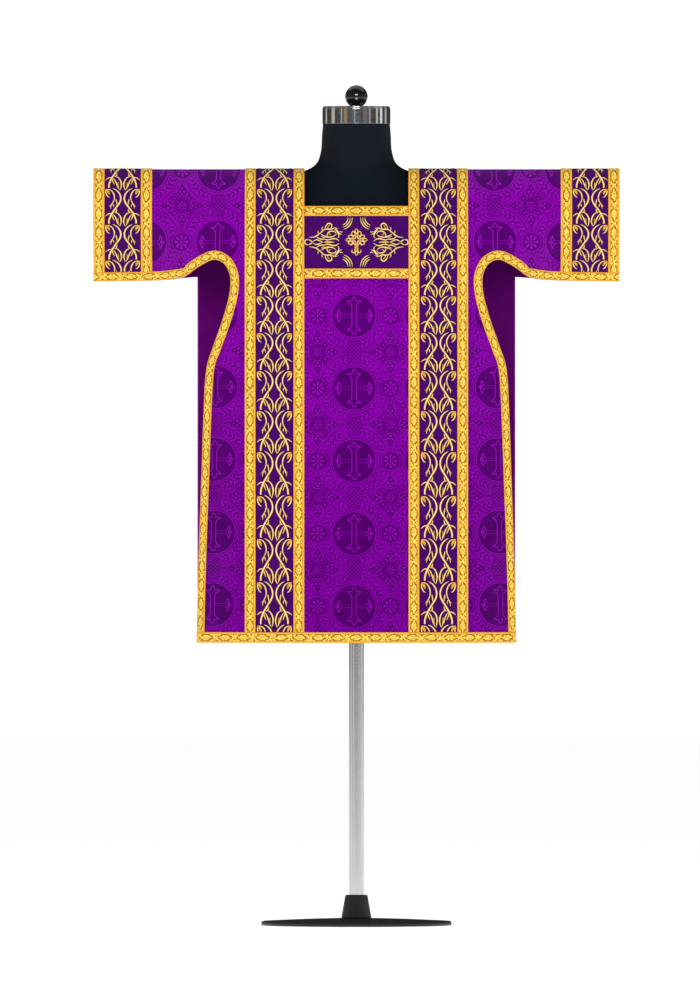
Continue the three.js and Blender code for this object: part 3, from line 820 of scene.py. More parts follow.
@dataclass(frozen=True)
class DamaskFigure:
    """The woven figure of the damask, in millimetres: a cross in a dark roundel, a leafy ring round
    it, small rosettes where the rings touch, and a lattice of spades in the space between four."""

    repeat: float = 144.8
    roundel: float = 42.6
    strap_in: float = 48.3
    leaves_out: float = 65.0
    strap_out: float = 72.0
    rosette: float = 17.6
    round: float = 16.4
    spade_at: float = 28.0
    spade_wide: float = 10.6
    spade_tip: float = 47.0
    # Painted shade, darker towards the hem: none above the first of these pattern heights, full below the
    # second
    fall_start: float = 60.0
    fall_end: float = -680.0

    def build(self) -> Tree:
        """Returns the group. Ground is 1 in the dark satin, Line is 1 on the bright outlines, and the
        last output, a painted shade, goes from 0 at the chest to 1 at the hem."""
        group = ShaderGroup("damask_figure", "Ground", "Line", "Fall")
        across, up = group.split()
        a, b = across.folded(self.repeat).size(), up.folded(self.repeat).size()
        out = length_of(a, b)
        half = self.repeat / 2
        side, over = half - a, half - b
        rosette_out = length_of(side, b)
        round_out = length_of(a, over)
        clear = rosette_out.ramp(self.rosette + 1.4, self.rosette + 2.2).least(
            round_out.ramp(self.round + 1.4, self.round + 2.2)
        )
        fleck = group.noise(scale=240.0).ramp(0.45, 0.56)
        streak = group.noise(scale=400.0, detail=1.0).ramp(0.48, 0.6)
        rings = out.line(self.roundel + 0.9, 0.8) * 0.75
        for at, width in ((self.strap_in, 0.5), (self.leaves_out, 0.5), (self.strap_out, 0.7)):
            rings = rings.most(out.line(at, width) * clear * 0.7)
        leaf_ground, leaf_line = self.leaves(a, b, out, fleck, streak)
        rose_ground, rose_line = self.rose(side, b, rosette_out)
        round_ground, round_line = self.lattice_round(a, over, round_out)
        cell_ground, cell_line = self.cell(side, over, out, fleck)
        roundel = out.ramp(self.roundel + 0.4, self.roundel - 0.4)
        strap = out.ramp(self.leaves_out, self.leaves_out + 1) * out.ramp(self.strap_out + 1, self.strap_out)
        ground = roundel.most(leaf_ground * clear).most(rose_ground).most(round_ground)
        ground = ground.most(cell_ground * clear).most((streak * 0.55 + fleck * 0.25) * (1.0 - strap * 0.6))
        line = self.cross(a, b).most(rings).most(leaf_line * clear).most(rose_line).most(round_line)
        # Painted shade: 0 at the chest, rising to 1 at the hem
        fall = up.ramp(self.fall_start, self.fall_end)
        return group.give(Ground=ground, Line=line.most(cell_line * clear), Fall=fall)

    def cross(self, a: Field, b: Field) -> Field:
        """Outline of the cross: an upright with flared, pointed ends, and a slight bar whose ends
        are three-leaved."""
        upright = [(4.4, 0), (4.4, 19), (7, 24), (13.5, 28.5), (8, 30), (4, 28.5)]
        tip = [(4, 31), (3.4, 34.5), (0, 38)]
        bar = [(4.6, 2.4), (25.5, 2.4)]
        bud = [(25.5, 3.0), (28.5, 5.5), (29.5, 12.2), (33.6, 8.4), (32.4, 5.0), (37.6, 0)]
        eye = [(29.4, 0), (31.6, 2.6), (33.8, 0)]
        strong = along_path(a, b, upright).least(along_path(a, b, tip))
        strong = strong.least(along_path(a, b, bud)).least(along_path(a, b, eye))
        return strong.ramp(1.15, 0.45).most(along_path(a, b, bar).ramp(1.0, 0.35) * 0.45)

    def leaves(self, a: Field, b: Field, out: Field, fleck: Field, streak: Field) -> tuple[Field, Field]:
        """Leafy sprays in the ring: chevrons that lean away from the diagonal, on its middle part,
        broken up into small leaves."""
        middle = (self.strap_in + self.leaves_out) / 2
        from_diagonal = (b.bearing(a) - math.pi / 4).size() * middle
        off = (out - middle).size()
        chevron = (from_diagonal - off * 0.9).wave(2 * math.pi / 9.2)
        inside = off.ramp(7.4, 6.6) * from_diagonal.ramp(33, 29)
        leaf = chevron.ramp(0.0, 0.5)
        ground = (leaf * (fleck * 0.4 + 0.6)).most(streak * 0.9) * inside
        edge = chevron.line(0.0, 0.3, soft=0.3) * (1.0 - fleck * 0.6)
        return ground, edge.most((1.0 - leaf) * (1.0 - streak) * 0.6) * inside

    def rose(self, x: Field, y: Field, out: Field) -> tuple[Field, Field]:
        """A dark round with eight bright petals that widen outwards, and a small heart."""
        spokes = (y.bearing(x) * 4.0).cosine().size()
        wide = out / self.rosette
        petal = (spokes + wide * 0.22).ramp(0.74, 0.94) * out.ramp(3.0, 4.4) * out.ramp(14.6, 13.2)
        groove = (y.bearing(x) * 8.0).cosine().size().ramp(0.9, 0.97) * spokes * out.ramp(6, 7)
        ground = out.ramp(self.rosette + 0.4, self.rosette - 0.4) * (1.0 - petal * 0.8)
        line = (petal * (1.0 - groove * 0.5)).most(out.line(self.rosette + 0.6, 0.6) * 0.7)
        return ground, line.most(out.ramp(2.6, 1.8)) * 0.8

    def lattice_round(self, x: Field, y: Field, out: Field) -> tuple[Field, Field]:
        """A round of a fine slanting lattice between two plain rings."""
        slant = (x + y).folded(8.0).size().ramp(1.3, 0.6).most((x - y).folded(8.0).size().ramp(1.3, 0.6))
        inside = out.ramp(self.round - 3.0, self.round - 4.0)
        ring = out.line(self.round, 0.6).most(out.line(self.round - 3.2, 0.5))
        ground = out.ramp(self.round + 0.4, self.round - 0.4) * 0.9
        return ground, (slant * inside * 0.6).most(ring * 0.6)

    def cell(self, side: Field, over: Field, out: Field, fleck: Field) -> tuple[Field, Field]:
        """Between four rings: a spade on each axis, point outwards, with a trefoil in it, small
        squares on the diagonals, and a rayed flower in the middle."""
        far, near = side.most(over), side.least(over)
        inside = out.ramp(self.strap_out + 1.6, self.strap_out + 2.4)
        beyond = far.ramp(self.spade_at - 0.2, self.spade_at + 0.2)
        lean = (far - self.spade_at) / (self.spade_tip - self.spade_at) + near / self.spade_wide
        belly = length_of(far - self.spade_at, near) / self.spade_wide
        spade = lean * beyond + belly * (1.0 - beyond)
        heart = length_of(far - 22.5, near).ramp(2.9, 2.1)
        heart = heart.most(length_of(far - 28.0, near - 4.2).ramp(3.0, 2.2))
        heart = heart.most(length_of(far - 35.0, near).ramp(2.4, 1.6))
        diamond = (far - 14.6).size() + (near - 14.6).size()
        square = diamond.line(8.0, 0.8, soft=0.8).most(diamond.ramp(3.8, 2.4))
        frame = (far + near).line(41.5, 0.7) * near.ramp(7.5, 8.5)
        spokes = (over.bearing(side) * 4.0).cosine().size()
        centre = length_of(side, over)
        flower = spokes.ramp(0.6, 0.85) * centre.ramp(2.0, 3.0) * centre.ramp(10.5, 9.0)
        line = (spade.line(1.0, 0.1, soft=0.08) * 0.8).most(heart * 0.8).most(square * 0.7).most(frame * 0.6)
        line = line.most(flower * 0.7).most(centre.ramp(1.8, 1.0) * 0.8)
        ground = spade.ramp(1.02, 0.94).most(diamond.ramp(8.0, 7.0)).most(fleck * 0.5 + 0.4)
        ground = ground.most(centre.ramp(12.5, 11.5) * 0.8)
        return ground * (1.0 - heart * 0.7) * inside, line * inside


@dataclass(frozen=True)
class BraidFigure:
    """The woven figure of the gold braid, in millimetres: blossoms and small leaves by turns, joined
    by stems on a speckled ground, between two plain borders."""

    repeat: float = 37.4
    blossom_half: float = 10.0
    figure_half: float = 5.9
    leaf_half: float = 5.6
    border_in: float = 7.0

    def build(self) -> Tree:
        """Returns the group. Dark is the shaded outline, Light the bright figure, Border the plain
        edge, and Relief the height of the weave."""
        group = ShaderGroup("braid_figure", "Dark", "Light", "Border", "Relief")
        length, width = group.split()
        a, b = length.folded(self.repeat).size(), width.size()
        speck = group.noise(scale=250.0, detail=1.0).ramp(0.45, 0.54)
        fine = group.noise(scale=430.0, detail=1.0).ramp(0.43, 0.56)
        petals = (b.bearing(a) * 3.0).cosine().size()
        oval = length_of(a / self.blossom_half, b / self.figure_half)
        lobe = oval / (petals * 0.2 + 0.86)
        blossom = lobe.ramp(1.0, 0.8)
        outline = lobe.line(1.1, 0.2, soft=0.2) * b.ramp(1.0, 3.6)
        heart = oval.line(0.36, 0.18, soft=0.14)
        rest = self.repeat / 2 - a
        leaf = length_of(rest / self.leaf_half, b / (self.figure_half - 1.2))
        leaf_outline = leaf.line(1.06, 0.24, soft=0.2)
        twig = (rest * 0.8 - b).size().ramp(1.6, 0.6) * rest.ramp(9.4, 8.4)
        inside = b.ramp(self.border_in, self.border_in - 0.5)
        dark = (outline * (fine * 0.4 + 0.6)).most(leaf_outline * (1.0 - speck) * 0.9)
        shaded = (1.0 - speck) * (1.0 - blossom * 0.6) * (1.0 - fine * 0.7)
        dark = dark.most(heart * fine * 0.45).most(shaded)
        seam = b.line(self.border_in + 0.2, 0.5, soft=0.4) * 0.35
        light = blossom * (speck * 0.35 + fine * 0.3 + 0.35)
        light = light.most(leaf.ramp(0.96, 0.7) * (fine * 0.5 + 0.2)).most(twig * (fine * 0.4 + 0.5))
        light = light.most(speck * (fine * 0.5 + 0.3))
        cord = b.ramp(self.border_in, self.border_in + 0.8) * b.ramp(10.8, 9.6)
        ribs = (length + b * 0.7).wave(2 * math.pi / 1.1) * 0.5 + 0.5
        return group.give(
            Dark=(dark * (1.0 - twig * 0.8) * inside).most(seam), Light=light * inside,
            Border=1.0 - inside, Relief=light * 0.7 * inside + cord * 0.5 + ribs * 0.18 - dark * 0.6,
        )


@dataclass(frozen=True)
class ThreadWeave:
    """Fine threads of a cloth: raised ribs across each other, broken up by a little noise."""

    pitch: float = 0.7
    unevenness: float = 0.5

    def build(self) -> Tree:
        """Returns the group. Height rises on each thread, Shade drifts slowly over the cloth."""
        group = ShaderGroup("thread_weave", "Height", "Shade")
        across, up = group.split()
        warp = across.wave(2 * math.pi / self.pitch)
        weft = (up + warp * 0.2).wave(2 * math.pi / (self.pitch * 1.6))
        slub = group.noise(scale=900.0)
        drift = group.noise(scale=26.0, detail=3.0).ramp(0.25, 0.75)
        height = warp * weft * 0.5 + slub * self.unevenness
        return group.give(Height=height, Shade=drift * 0.75 + slub * 0.25)


# How much brighter than its own colour a surface shows in this studio
LIT = 1.25


def linear(red: int, green: int, blue: int) -> Colour:
    """The colour of a surface that shows as a screen colour from 0 to 255 in this studio: the
    screen's own curve turned back, over the light."""
    shares = (channel / 255 for channel in (red, green, blue))
    curve = (c / 12.92 if c <= 0.04045 else ((c + 0.055) / 1.055) ** 2.4 for c in shares)
    return (*(c / LIT for c in curve), 1.0)


class Finish:
    """A material under construction: its tree, its shader and the joints between nodes."""

    def __init__(self, name: str) -> None:
        """Makes an empty material with one shader."""
        self.material = bpy.data.materials.new(name)
        self.material.use_nodes = True
        self.tree = self.material.node_tree
        self.shader = self.tree.nodes["Principled BSDF"]

    def set(self, **values: "float | Colour | Socket | Field") -> Material:
        """Sets the shader's own sockets, or joins a node to them, and returns the material. An
        underscore stands for a space."""
        for label, value in values.items():
            self._put(value, self.shader.inputs[label.replace("_", " ")])
        return self.material

    def _put(self, value: "float | Colour | Socket | Field", socket: Socket) -> None:
        """Sets a socket, or joins a node to it."""
        source = value.socket if isinstance(value, Field) else value
        if isinstance(source, Socket):
            self.tree.links.new(source, socket)
        else:
            socket.default_value = source

    def place(self, label: str) -> Socket:
        """The place on the surface: UV for cloth, Object for solids."""
        return self.tree.nodes.new("ShaderNodeTexCoord").outputs[label]

    def group(self, tree: Tree, place: Socket) -> dict[str, Field]:
        """Places a group and returns its outputs as fields."""
        node = self.tree.nodes.new("ShaderNodeGroup")
        node.node_tree = tree
        self.tree.links.new(place, node.inputs["Place"])
        return {socket.name: Field(self.tree, socket) for socket in node.outputs}

    def grain(self, scale: float, detail: float = 2.0) -> Field:
        """Smooth noise through a solid."""
        return noise(self.tree, self.place("Object"), scale, detail)

    def mix(self, share: Field, low: "Colour | Socket", high: "Colour | Socket") -> Socket:
        """A colour between two."""
        node = self.tree.nodes.new("ShaderNodeMix")
        node.data_type = "RGBA"
        for value, socket in ((share, node.inputs["Factor"]), (low, node.inputs[6]), (high, node.inputs[7])):
            self._put(value, socket)
        return node.outputs[2]

    def bump(self, height: Field, distance: float, strength: float = 1.0) -> Socket:
        """The normal of a height whose full step is a distance in metres."""
        node = self.tree.nodes.new("ShaderNodeBump")
        node.inputs["Distance"].default_value = distance
        node.inputs["Strength"].default_value = strength
        self._put(height, node.inputs["Height"])
        return node.outputs["Normal"]


class Wardrobe:
    """Every finish of the garment and its form."""

    def __init__(self) -> None:
        """Builds the woven figures once, and the finishes from them."""
        self.weave = ThreadWeave().build()
        self.damask = Look("damask", self.damask_cloth(DamaskFigure().build()))
        self.lining = Look("lining", self.plum_satin())
        self.velvet = Look("velvet", self.band_cloth())
        self.braid = Look("gold_braid", self.gold_braid(BraidFigure().build()))
        self.thread = Look("gold_braid", self.gold_thread())
        self.jersey = Look("jersey", self.form_jersey())
        self.chrome = Look("chrome", self.polished("chrome_band", (0.62, 0.63, 0.65, 1.0), 1.0, 0.09))
        self.gloss = Look("gloss_black", self.polished("gloss_black", (0.004, 0.004, 0.005, 1.0), 0.0, 0.06))
        self.cap = Look("gloss_black", self.polished("gloss_cap", (0.4, 0.41, 0.43, 1.0), 1.0, 0.12))
        self.enamel = Look("steel_black", self.form_enamel())

    def damask_cloth(self, figured: Tree) -> Material:
        """Violet figured silk: dark satin ground, mid field, bright outlines, and painted shade towards the
        hem.
        """
        finish = Finish("violet_damask")
        place = finish.place("UV")
        figure, weave = finish.group(figured, place), finish.group(self.weave, place)
        field = finish.mix(weave["Shade"], linear(112, 0, 142), linear(131, 1, 164))
        dark = finish.mix(weave["Shade"], linear(70, 0, 93), linear(89, 0, 117))
        colour = finish.mix(figure["Ground"], field, dark)
        colour = finish.mix(figure["Line"] * 0.75, colour, linear(168, 18, 204))
        height = weave["Height"] * 0.25 + figure["Line"] * 0.5 - figure["Ground"] * 0.35
        return finish.set(
            # Painted shade: mixed a little towards black everywhere, and more towards the hem
            Base_Color=finish.mix(figure["Fall"] * 0.18 + 0.07, colour, (0, 0, 0, 1)),
            Roughness=figure["Ground"] * 0.1 - figure["Line"] * 0.08 + 0.5,
            Normal=finish.bump(height, 0.0002, 0.6),
            Specular_IOR_Level=0.22,
            Specular_Tint=(0.55, 0.02, 0.8, 1.0),
        )

    def plum_satin(self) -> Material:
        """Plain satin with a slow drift of tone and fine threads. Its colours are painted lighter than
        the satin's own, as painted light that makes up for the shade inside the garment.
        """
        finish = Finish("plum_lining")
        weave = finish.group(self.weave, finish.place("UV"))
        return finish.set(
            # Painted light: these colours are raised above the satin's own to make up for the shade it lies
            # in
            Base_Color=finish.mix(weave["Shade"], linear(130, 14, 144), linear(142, 17, 158)),
            Roughness=weave["Shade"] * 0.1 + 0.46,
            Normal=finish.bump(weave["Height"], 0.00012, 0.6),
            Specular_IOR_Level=0.35,
            Specular_Tint=(0.6, 0.05, 0.7, 1.0),
        )

    def band_cloth(self) -> Material:
        """Deep violet ground of the embroidered bands."""
        finish = Finish("deep_violet_band")
        weave = finish.group(self.weave, finish.place("UV"))
        return finish.set(
            Base_Color=finish.mix(weave["Shade"], linear(58, 2, 83), linear(71, 5, 104)),
            Roughness=weave["Shade"] * 0.1 + 0.6,
            Normal=finish.bump(weave["Height"], 0.0002, 0.7),
            Specular_IOR_Level=0.3,
            Specular_Tint=(0.4, 0.1, 0.8, 1.0),
        )

    def gold_braid(self, figured: Tree) -> Material:
        """Woven metal braid: amber borders, a yellow ground, bright blossoms, brown outlines."""
        finish = Finish("gold_braid")
        figure = finish.group(figured, finish.place("UV"))
        ground = finish.mix(figure["Light"], linear(246, 170, 18), linear(255, 246, 112))
        ground = finish.mix(figure["Border"], ground, linear(252, 182, 56))
        return finish.set(
            Base_Color=finish.mix(figure["Dark"], ground, linear(148, 64, 0)),
            Roughness=figure["Dark"] * 0.2 + 0.42,
            Normal=finish.bump(figure["Relief"], 0.0005, 0.8),
            Metallic=0.15,
            Specular_IOR_Level=0.4,
            Specular_Tint=(1.0, 0.85, 0.5, 1.0),
        )

    def gold_thread(self) -> Material:
        """Satin stitch in pale gold: threads lie across each stroke. Its middle is lightened as a painted
        highlight, its sides darken to deeper gold as painted shade, and its low rim is painted near black as
        shadow.
        """
        finish = Finish("gold_thread")
        along, across, _ = components(finish.tree, finish.place("UV"))
        thread = (along * 1000).wave(2 * math.pi / 0.55) * 0.5 + 0.5
        # Painted highlight: the pale cream of the stroke's middle, with the threads' ripple in it
        pale = finish.mix(thread * 0.35, linear(255, 240, 196), linear(250, 216, 136))
        # Painted shade: darker gold towards the stroke's sides
        gold = finish.mix(across.size().ramp(0.26, 0.66), pale, linear(236, 160, 44))
        return finish.set(
            # Painted shadow: near black on the low rim at the stroke's foot
            Base_Color=finish.mix(across.size().ramp(0.8, 0.98), gold, linear(22, 0, 16)),
            Roughness=thread * 0.12 + 0.4,
            Normal=finish.bump(thread, 0.00018, 0.7),
            Metallic=0.1,
            Specular_IOR_Level=0.4,
            Specular_Tint=(1.0, 0.9, 0.65, 1.0),
        )

    def form_jersey(self) -> Material:
        """Black knit drawn tight over the form: fine wales and a slow drift of tone."""
        finish = Finish("black_jersey")
        grain = finish.grain(420.0)
        wale = finish.tree.nodes.new("ShaderNodeTexWave")
        wale.inputs["Scale"].default_value = 240.0
        wale.inputs["Distortion"].default_value = 1.5
        finish.tree.links.new(finish.place("Object"), wale.inputs["Vector"])
        height = grain * 0.5 + Field(finish.tree, wale.outputs["Fac"]) * 0.5
        return finish.set(
            Base_Color=finish.mix(grain, linear(2, 11, 20), linear(10, 22, 34)),
            Roughness=grain * 0.15 + 0.62,
            Normal=finish.bump(height, 0.0002, 0.5),
            Specular_IOR_Level=0.2,
        )

    def polished(self, name: str, colour: Colour, metallic: float, roughness: float) -> Material:
        """A smooth hard finish with faint smears in its gloss."""
        finish = Finish(name)
        smear = finish.grain(18.0, detail=4.0)
        return finish.set(Base_Color=colour, Metallic=metallic, Roughness=smear * 0.08 + roughness)

    def form_enamel(self) -> Material:
        """Black satin enamel with a slight orange-peel surface."""
        finish = Finish("black_enamel")
        grain = finish.grain(260.0)
        return finish.set(
            Base_Color=finish.mix(grain, (0.009, 0.009, 0.011, 1), (0.016, 0.016, 0.019, 1)),
            Roughness=grain * 0.1 + 0.36,
            Normal=finish.bump(grain, 0.0001, 0.4),
        )


# Panels, lining, bands and braids


class SideCloth:
    """Everything sewn on one side of the garment."""

    STEP = 5.5  # spacing of the cloth's grid, in millimetres
    FIELD_LINES = 13  # lines of the grid from the yoke or the orphrey to the edge braid
    RIM_LINES = 5  # lines of the grid under the edge braid
    SLEEVE_END = 6  # the edge row where the sleeve's lower edge turns into the armhole
    PLUMB_FROM = 15  # the edge row from which the side hangs plumb
    SLEEVE_EASE = 1.03  # length out along the sleeve over its width in the front view
    MEASURED_AT = 200  # where across the side panels' length is taken
    ROUND = 0.8  # how far in from its edge a strip is rounded
    THIN = 0.35  # share of a strip's thickness at its very edge
    FIRST = 0.3  # the first step in from a strip's edge
    STRIP_STEP = 5.0  # spacing of a strip's grid across it

    def __init__(self, side: Side, wardrobe: Wardrobe) -> None:
        """Works out the side's surface and the heights that its pieces share."""
        self.side = side
        self.wardrobe = wardrobe
        self.drape = Drape(side)
        self.mesh = ClothMesh(self.drape)
        self.rows = edge_rows()
        self.neck_z = CUT.neck_front_z if side is Side.FRONT else CUT.neck_back_z
        self.upper = crown_rows(CUT.shoulder_z, CUT.yoke_z, self.STEP)

    def cloth_uv(self, x: Array, z: Array, centre: float, lean: float, top: float) -> Array:
        """The weave's own measure: across from a roundel's centre, and pattern height above a row
        of roundels.

        Args:
            x: places across, in millimetres.
            z: heights in the front view.
            centre: place across of a column of roundels at the height top.
            lean: how far that column moves out for each millimetre down.
            top: pattern height of a row of roundels.

        Returns:
            Pattern places in metres.
        """
        height = self.drape.pattern_at(x, z)
        column = centre + np.sign(centre) * lean * (top - height)
        return np.stack([x - column, height - top], -1) * MM

    def edge_grid(self) -> tuple[Array, Array, Array]:
        """Finer lines between the section lines of the front side panel.

        Places run along the rows at even spacing. The start of each line is on straight stretches
        between the rows' starts, its end on a smooth curve through their ends, and the braid's inner
        line is a braid's width in from that end, at right angles to the edge.

        Returns:
            The starts, the places on the braid's inner line and the ends, with X and Z last.
        """
        start = np.array([(r.in_x, r.in_z) for r in self.rows], float)
        edge = np.array([(r.x, r.z) for r in self.rows], float)
        spans = np.linalg.norm(np.diff(edge, axis=0), axis=1)
        counts = np.maximum(2, np.ceil(spans / self.STEP)).astype(int)
        runs = [i + np.arange(n) / n for i, n in enumerate(counts)]
        at = np.concatenate([*runs, [len(self.rows) - 1.0]])
        starts = np.stack([np.interp(at, np.arange(len(start)), start[:, k]) for k in (0, 1)], -1)
        ends = catmull_rom(edge, at)
        sleeve = at <= self.SLEEVE_END
        ends[sleeve, 0] = np.interp(at[sleeve], np.arange(len(edge)), edge[:, 0])
        ends[sleeve, 1] = sleeve_edge_z(ends[sleeve, 0])
        tangent = unit(np.gradient(ends, axis=0))
        inward = np.stack([tangent[:, 1], -tangent[:, 0]], -1)
        level = smooth((self.SLEEVE_END - at) / 0.6 + 1)[:, None]
        plumb = smooth(at - self.PLUMB_FROM)[:, None]
        inward = inward * (1 - level) + np.array([0, 1]) * level
        inward = inward * (1 - plumb) + np.array([-1, 0]) * plumb
        inward = unit(inward)
        normal = unit(self.drape.over(*ends.T, 1.0) - self.drape.over(*ends.T))
        lean = (normal[:, 0] * inward[:, 0] + normal[:, 2] * inward[:, 1]) * (1 - level[:, 0])
        width = CUT.edge_braid * np.sqrt(1 - lean**2)
        return starts, ends + inward * width[:, None], ends

    def side_patches(self, inner: float) -> list[Patch]:
        """Patches of a side panel on the right hand, from a place across out to its free edges."""
        is_front = self.side is Side.FRONT
        return self.front_side_patches(inner) if is_front else self.back_side_patches(inner)

    def finished(self, x: Array, z: Array) -> Patch:
        """A patch of the side panels' own weave."""
        return Patch(x, z, self.cloth_uv(x, z, centre=277.0, lean=0.0142, top=1365.3))

    def front_side_patches(self, inner: float) -> list[Patch]:
        """The shoulder block, the strip under the orphrey, and the lines out to the free edge."""
        start, braid, edge = self.edge_grid()
        seam = stations([inner, CUT.band_inner, CUT.band_outer, CUT.orphrey_outer], self.STEP)
        yoke = start[:, 1] >= CUT.yoke_z - 1e-9
        columns = np.concatenate([seam[:-1], start[yoke, 0][::-1]])
        down = start[start[:, 0] <= CUT.orphrey_outer + 1e-9, 1]
        field = start + (braid - start) * np.linspace(0, 1, self.FIELD_LINES)[:, None, None]
        rim = braid + (edge - braid) * np.linspace(0, 1, self.RIM_LINES)[1:, None, None]
        lines = np.concatenate([field, rim]).transpose(1, 0, 2)
        return [
            self.finished(*np.meshgrid(columns, self.upper)),
            self.finished(*np.meshgrid(seam, down)),
            self.finished(lines[..., 0], lines[..., 1]),
        ]

    def sleeve_heights(self, foot: Array) -> Array:
        """Heights of a grid down the sleeve, whose columns end at the given feet: the rows over the
        shoulder that every piece shares, then even steps."""
        share = np.linspace(0, 1, self.FIELD_LINES)[1:, None]
        over = np.repeat(self.upper[:, None], len(foot), 1)
        return np.concatenate([over, CUT.yoke_z + (foot - CUT.yoke_z) * share])

    def back_side_patches(self, inner: float) -> list[Patch]:
        """The body down to the hem, and the sleeve beside it."""
        marks = [inner, CUT.band_inner, CUT.band_outer, CUT.orphrey_outer, CUT.body_half]
        body = stations(marks, self.STEP)
        sleeve = stations([CUT.body_half, CUT.cuff_inner, CUT.cuff_band_outer, CUT.half_span], self.STEP)
        sleeve_z = self.sleeve_heights(sleeve_edge_z(sleeve))
        below = stations([float(sleeve_edge_z(CUT.body_half)), CUT.hem_z], self.STEP)
        body_rows = np.concatenate([sleeve_z[:, 0], below[1:]])
        sleeve_x = np.broadcast_to(sleeve, sleeve_z.shape)
        return [self.finished(*np.meshgrid(body, body_rows)), self.finished(sleeve_x, sleeve_z)]

    def centre_patch(self, half: float) -> Patch:
        """The centre panel between the orphreys, from the neck to the hem."""
        rows = crown_rows(self.neck_z, CUT.hem_z, self.STEP)
        x, z = np.meshgrid(stations([-half, 0, half], self.STEP), rows)
        return Patch(x, z, self.cloth_uv(x, z, centre=-4.7, lean=0.0, top=1217.4))

    def add(
        self, piece: Piece, node: str, look: Look, flat: Point, rests_on: str = "form_torso_knit",
        held: str = "hung", area: float | None = None,
    ) -> Piece:
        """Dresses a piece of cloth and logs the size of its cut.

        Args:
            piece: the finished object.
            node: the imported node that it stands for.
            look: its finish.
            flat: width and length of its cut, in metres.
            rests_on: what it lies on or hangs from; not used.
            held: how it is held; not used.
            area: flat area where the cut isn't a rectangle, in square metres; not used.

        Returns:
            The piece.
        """
        dress(piece, look, node)
        LOG.info("%s: cut %.0f by %.0f mm", node, flat[0] / MM, flat[1] / MM)
        return piece

    def hung_length(self, x: float, top: float, foot: float) -> float:
        """Length of the cloth between two heights at a place across, in metres."""
        high, low = self.drape.length_at(np.array([x, x]), np.array([top, foot]))
        return float(high - low) * MM

    def panels(self) -> None:
        """The centre panel and the two side panels, with the plum lining inside their reverse."""
        word, seam, gap, wall = self.side.word, CUT.panel_seam, CUT.half_gap, CUT.panel_wall
        centre = self.mesh.wall(f"{word}_centre_cloth", [self.centre_patch(seam - gap)], -wall, wall)
        size = (2 * (seam - gap) * MM, self.hung_length(0, self.neck_z, CUT.hem_z))
        self.reverse(self.add(centre, f"{word}_centre", self.wardrobe.damask, size))
        for hand in Hand:
            patches = [patch.on(hand) for patch in self.side_patches(seam + gap)]
            node = f"{word}_side_{hand.word}"
            piece = self.mesh.wall(f"{node}_cloth", patches, -wall, wall)
            size = self.spread_size(CUT.half_span - seam)
            self.reverse(self.add(piece, node, self.wardrobe.damask, size, area=outer_area(piece)))

    def spread_size(self, width: float) -> Point:
        """Flat size of cloth that hangs from the fold to the hem over a width in the front view."""
        length = self.hung_length(self.MEASURED_AT, CUT.shoulder_z, CUT.hem_z)
        return width * self.SLEEVE_EASE * MM, length

    def reverse(self, piece: Piece) -> None:
        """Gives a panel's inner faces the lining's colour."""
        piece.data.materials.append(self.wardrobe.lining.material)
        count = piece["outer_faces"]
        slots = np.zeros(len(piece.data.polygons), np.int32)
        slots[count : 2 * count] = 1
        piece.data.polygons.foreach_set("material_index", slots)

    def lining(self) -> None:
        """The plum lining, in one piece over the whole back."""
        sides = self.side_patches(CUT.panel_seam)
        patches = [self.centre_patch(CUT.panel_seam), *sides, *(patch.on(Hand.LEFT) for patch in sides)]
        lift = -CUT.panel_wall - CUT.gap - CUT.lining_wall
        piece = self.mesh.wall("plum_lining_cloth", patches, lift, CUT.lining_wall)
        size = self.spread_size(2 * CUT.half_span)
        self.add(piece, "back_lining", self.wardrobe.lining, size, area=outer_area(piece))

    # Strips: bands and braids

    def strip(
        self, node: str, patches: Sequence[Patch], is_braid: bool, flat: Point, hand: Hand | None = None
    ) -> Piece:
        """A band or braid, sewn on a side panel, or on the centre panel where no hand is given.

        Args:
            node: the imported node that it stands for.
            patches: its places, drawn for the right hand.
            is_braid: braid, or else embroidered band.
            flat: width and length of its cut, in metres.
            hand: the side panel that it lies on.

        Returns:
            The piece.
        """
        ending, wall, look = "ground", CUT.band_wall, self.wardrobe.velvet
        if is_braid:
            ending, wall, look = "weave", CUT.braid_wall, self.wardrobe.braid
        panel = "centre"
        if hand is not None:
            panel = f"side_{hand.word}"
            patches = [patch.on(hand) for patch in patches]
        piece = self.mesh.wall(f"{node}_{ending}", patches, CUT.gap, wall)
        return self.add(piece, node, look, flat, f"{self.side.word}_{panel}_cloth", held="laid")

    def sewn(self, x: Array, z: Array, along: Array, across: Array) -> Patch:
        """A patch of a strip. Its pattern is measured along the strip and out from its centre line,
        both in millimetres."""
        along, across = np.broadcast_to(along, x.shape), np.broadcast_to(across, x.shape)
        return Patch(x, z, np.stack([along, across], -1) * MM, self.rounded(across))

    def rounded(self, across: Array) -> Array:
        """Share of the full thickness across a strip, which falls to a third at its edges."""
        edge = np.abs(across).max() - np.abs(across)
        return self.THIN + (1 - self.THIN) * np.sqrt(np.clip(edge / self.ROUND, 0, 1))

    def strip_columns(self, half: float) -> Array:
        """Places across a strip: close together at its rounded edges, even between."""
        inner, near_edge = half - self.ROUND, half - self.FIRST
        between = stations([-inner, inner], self.STRIP_STEP)
        return np.concatenate([[-half, -near_edge], between, [near_edge, half]])

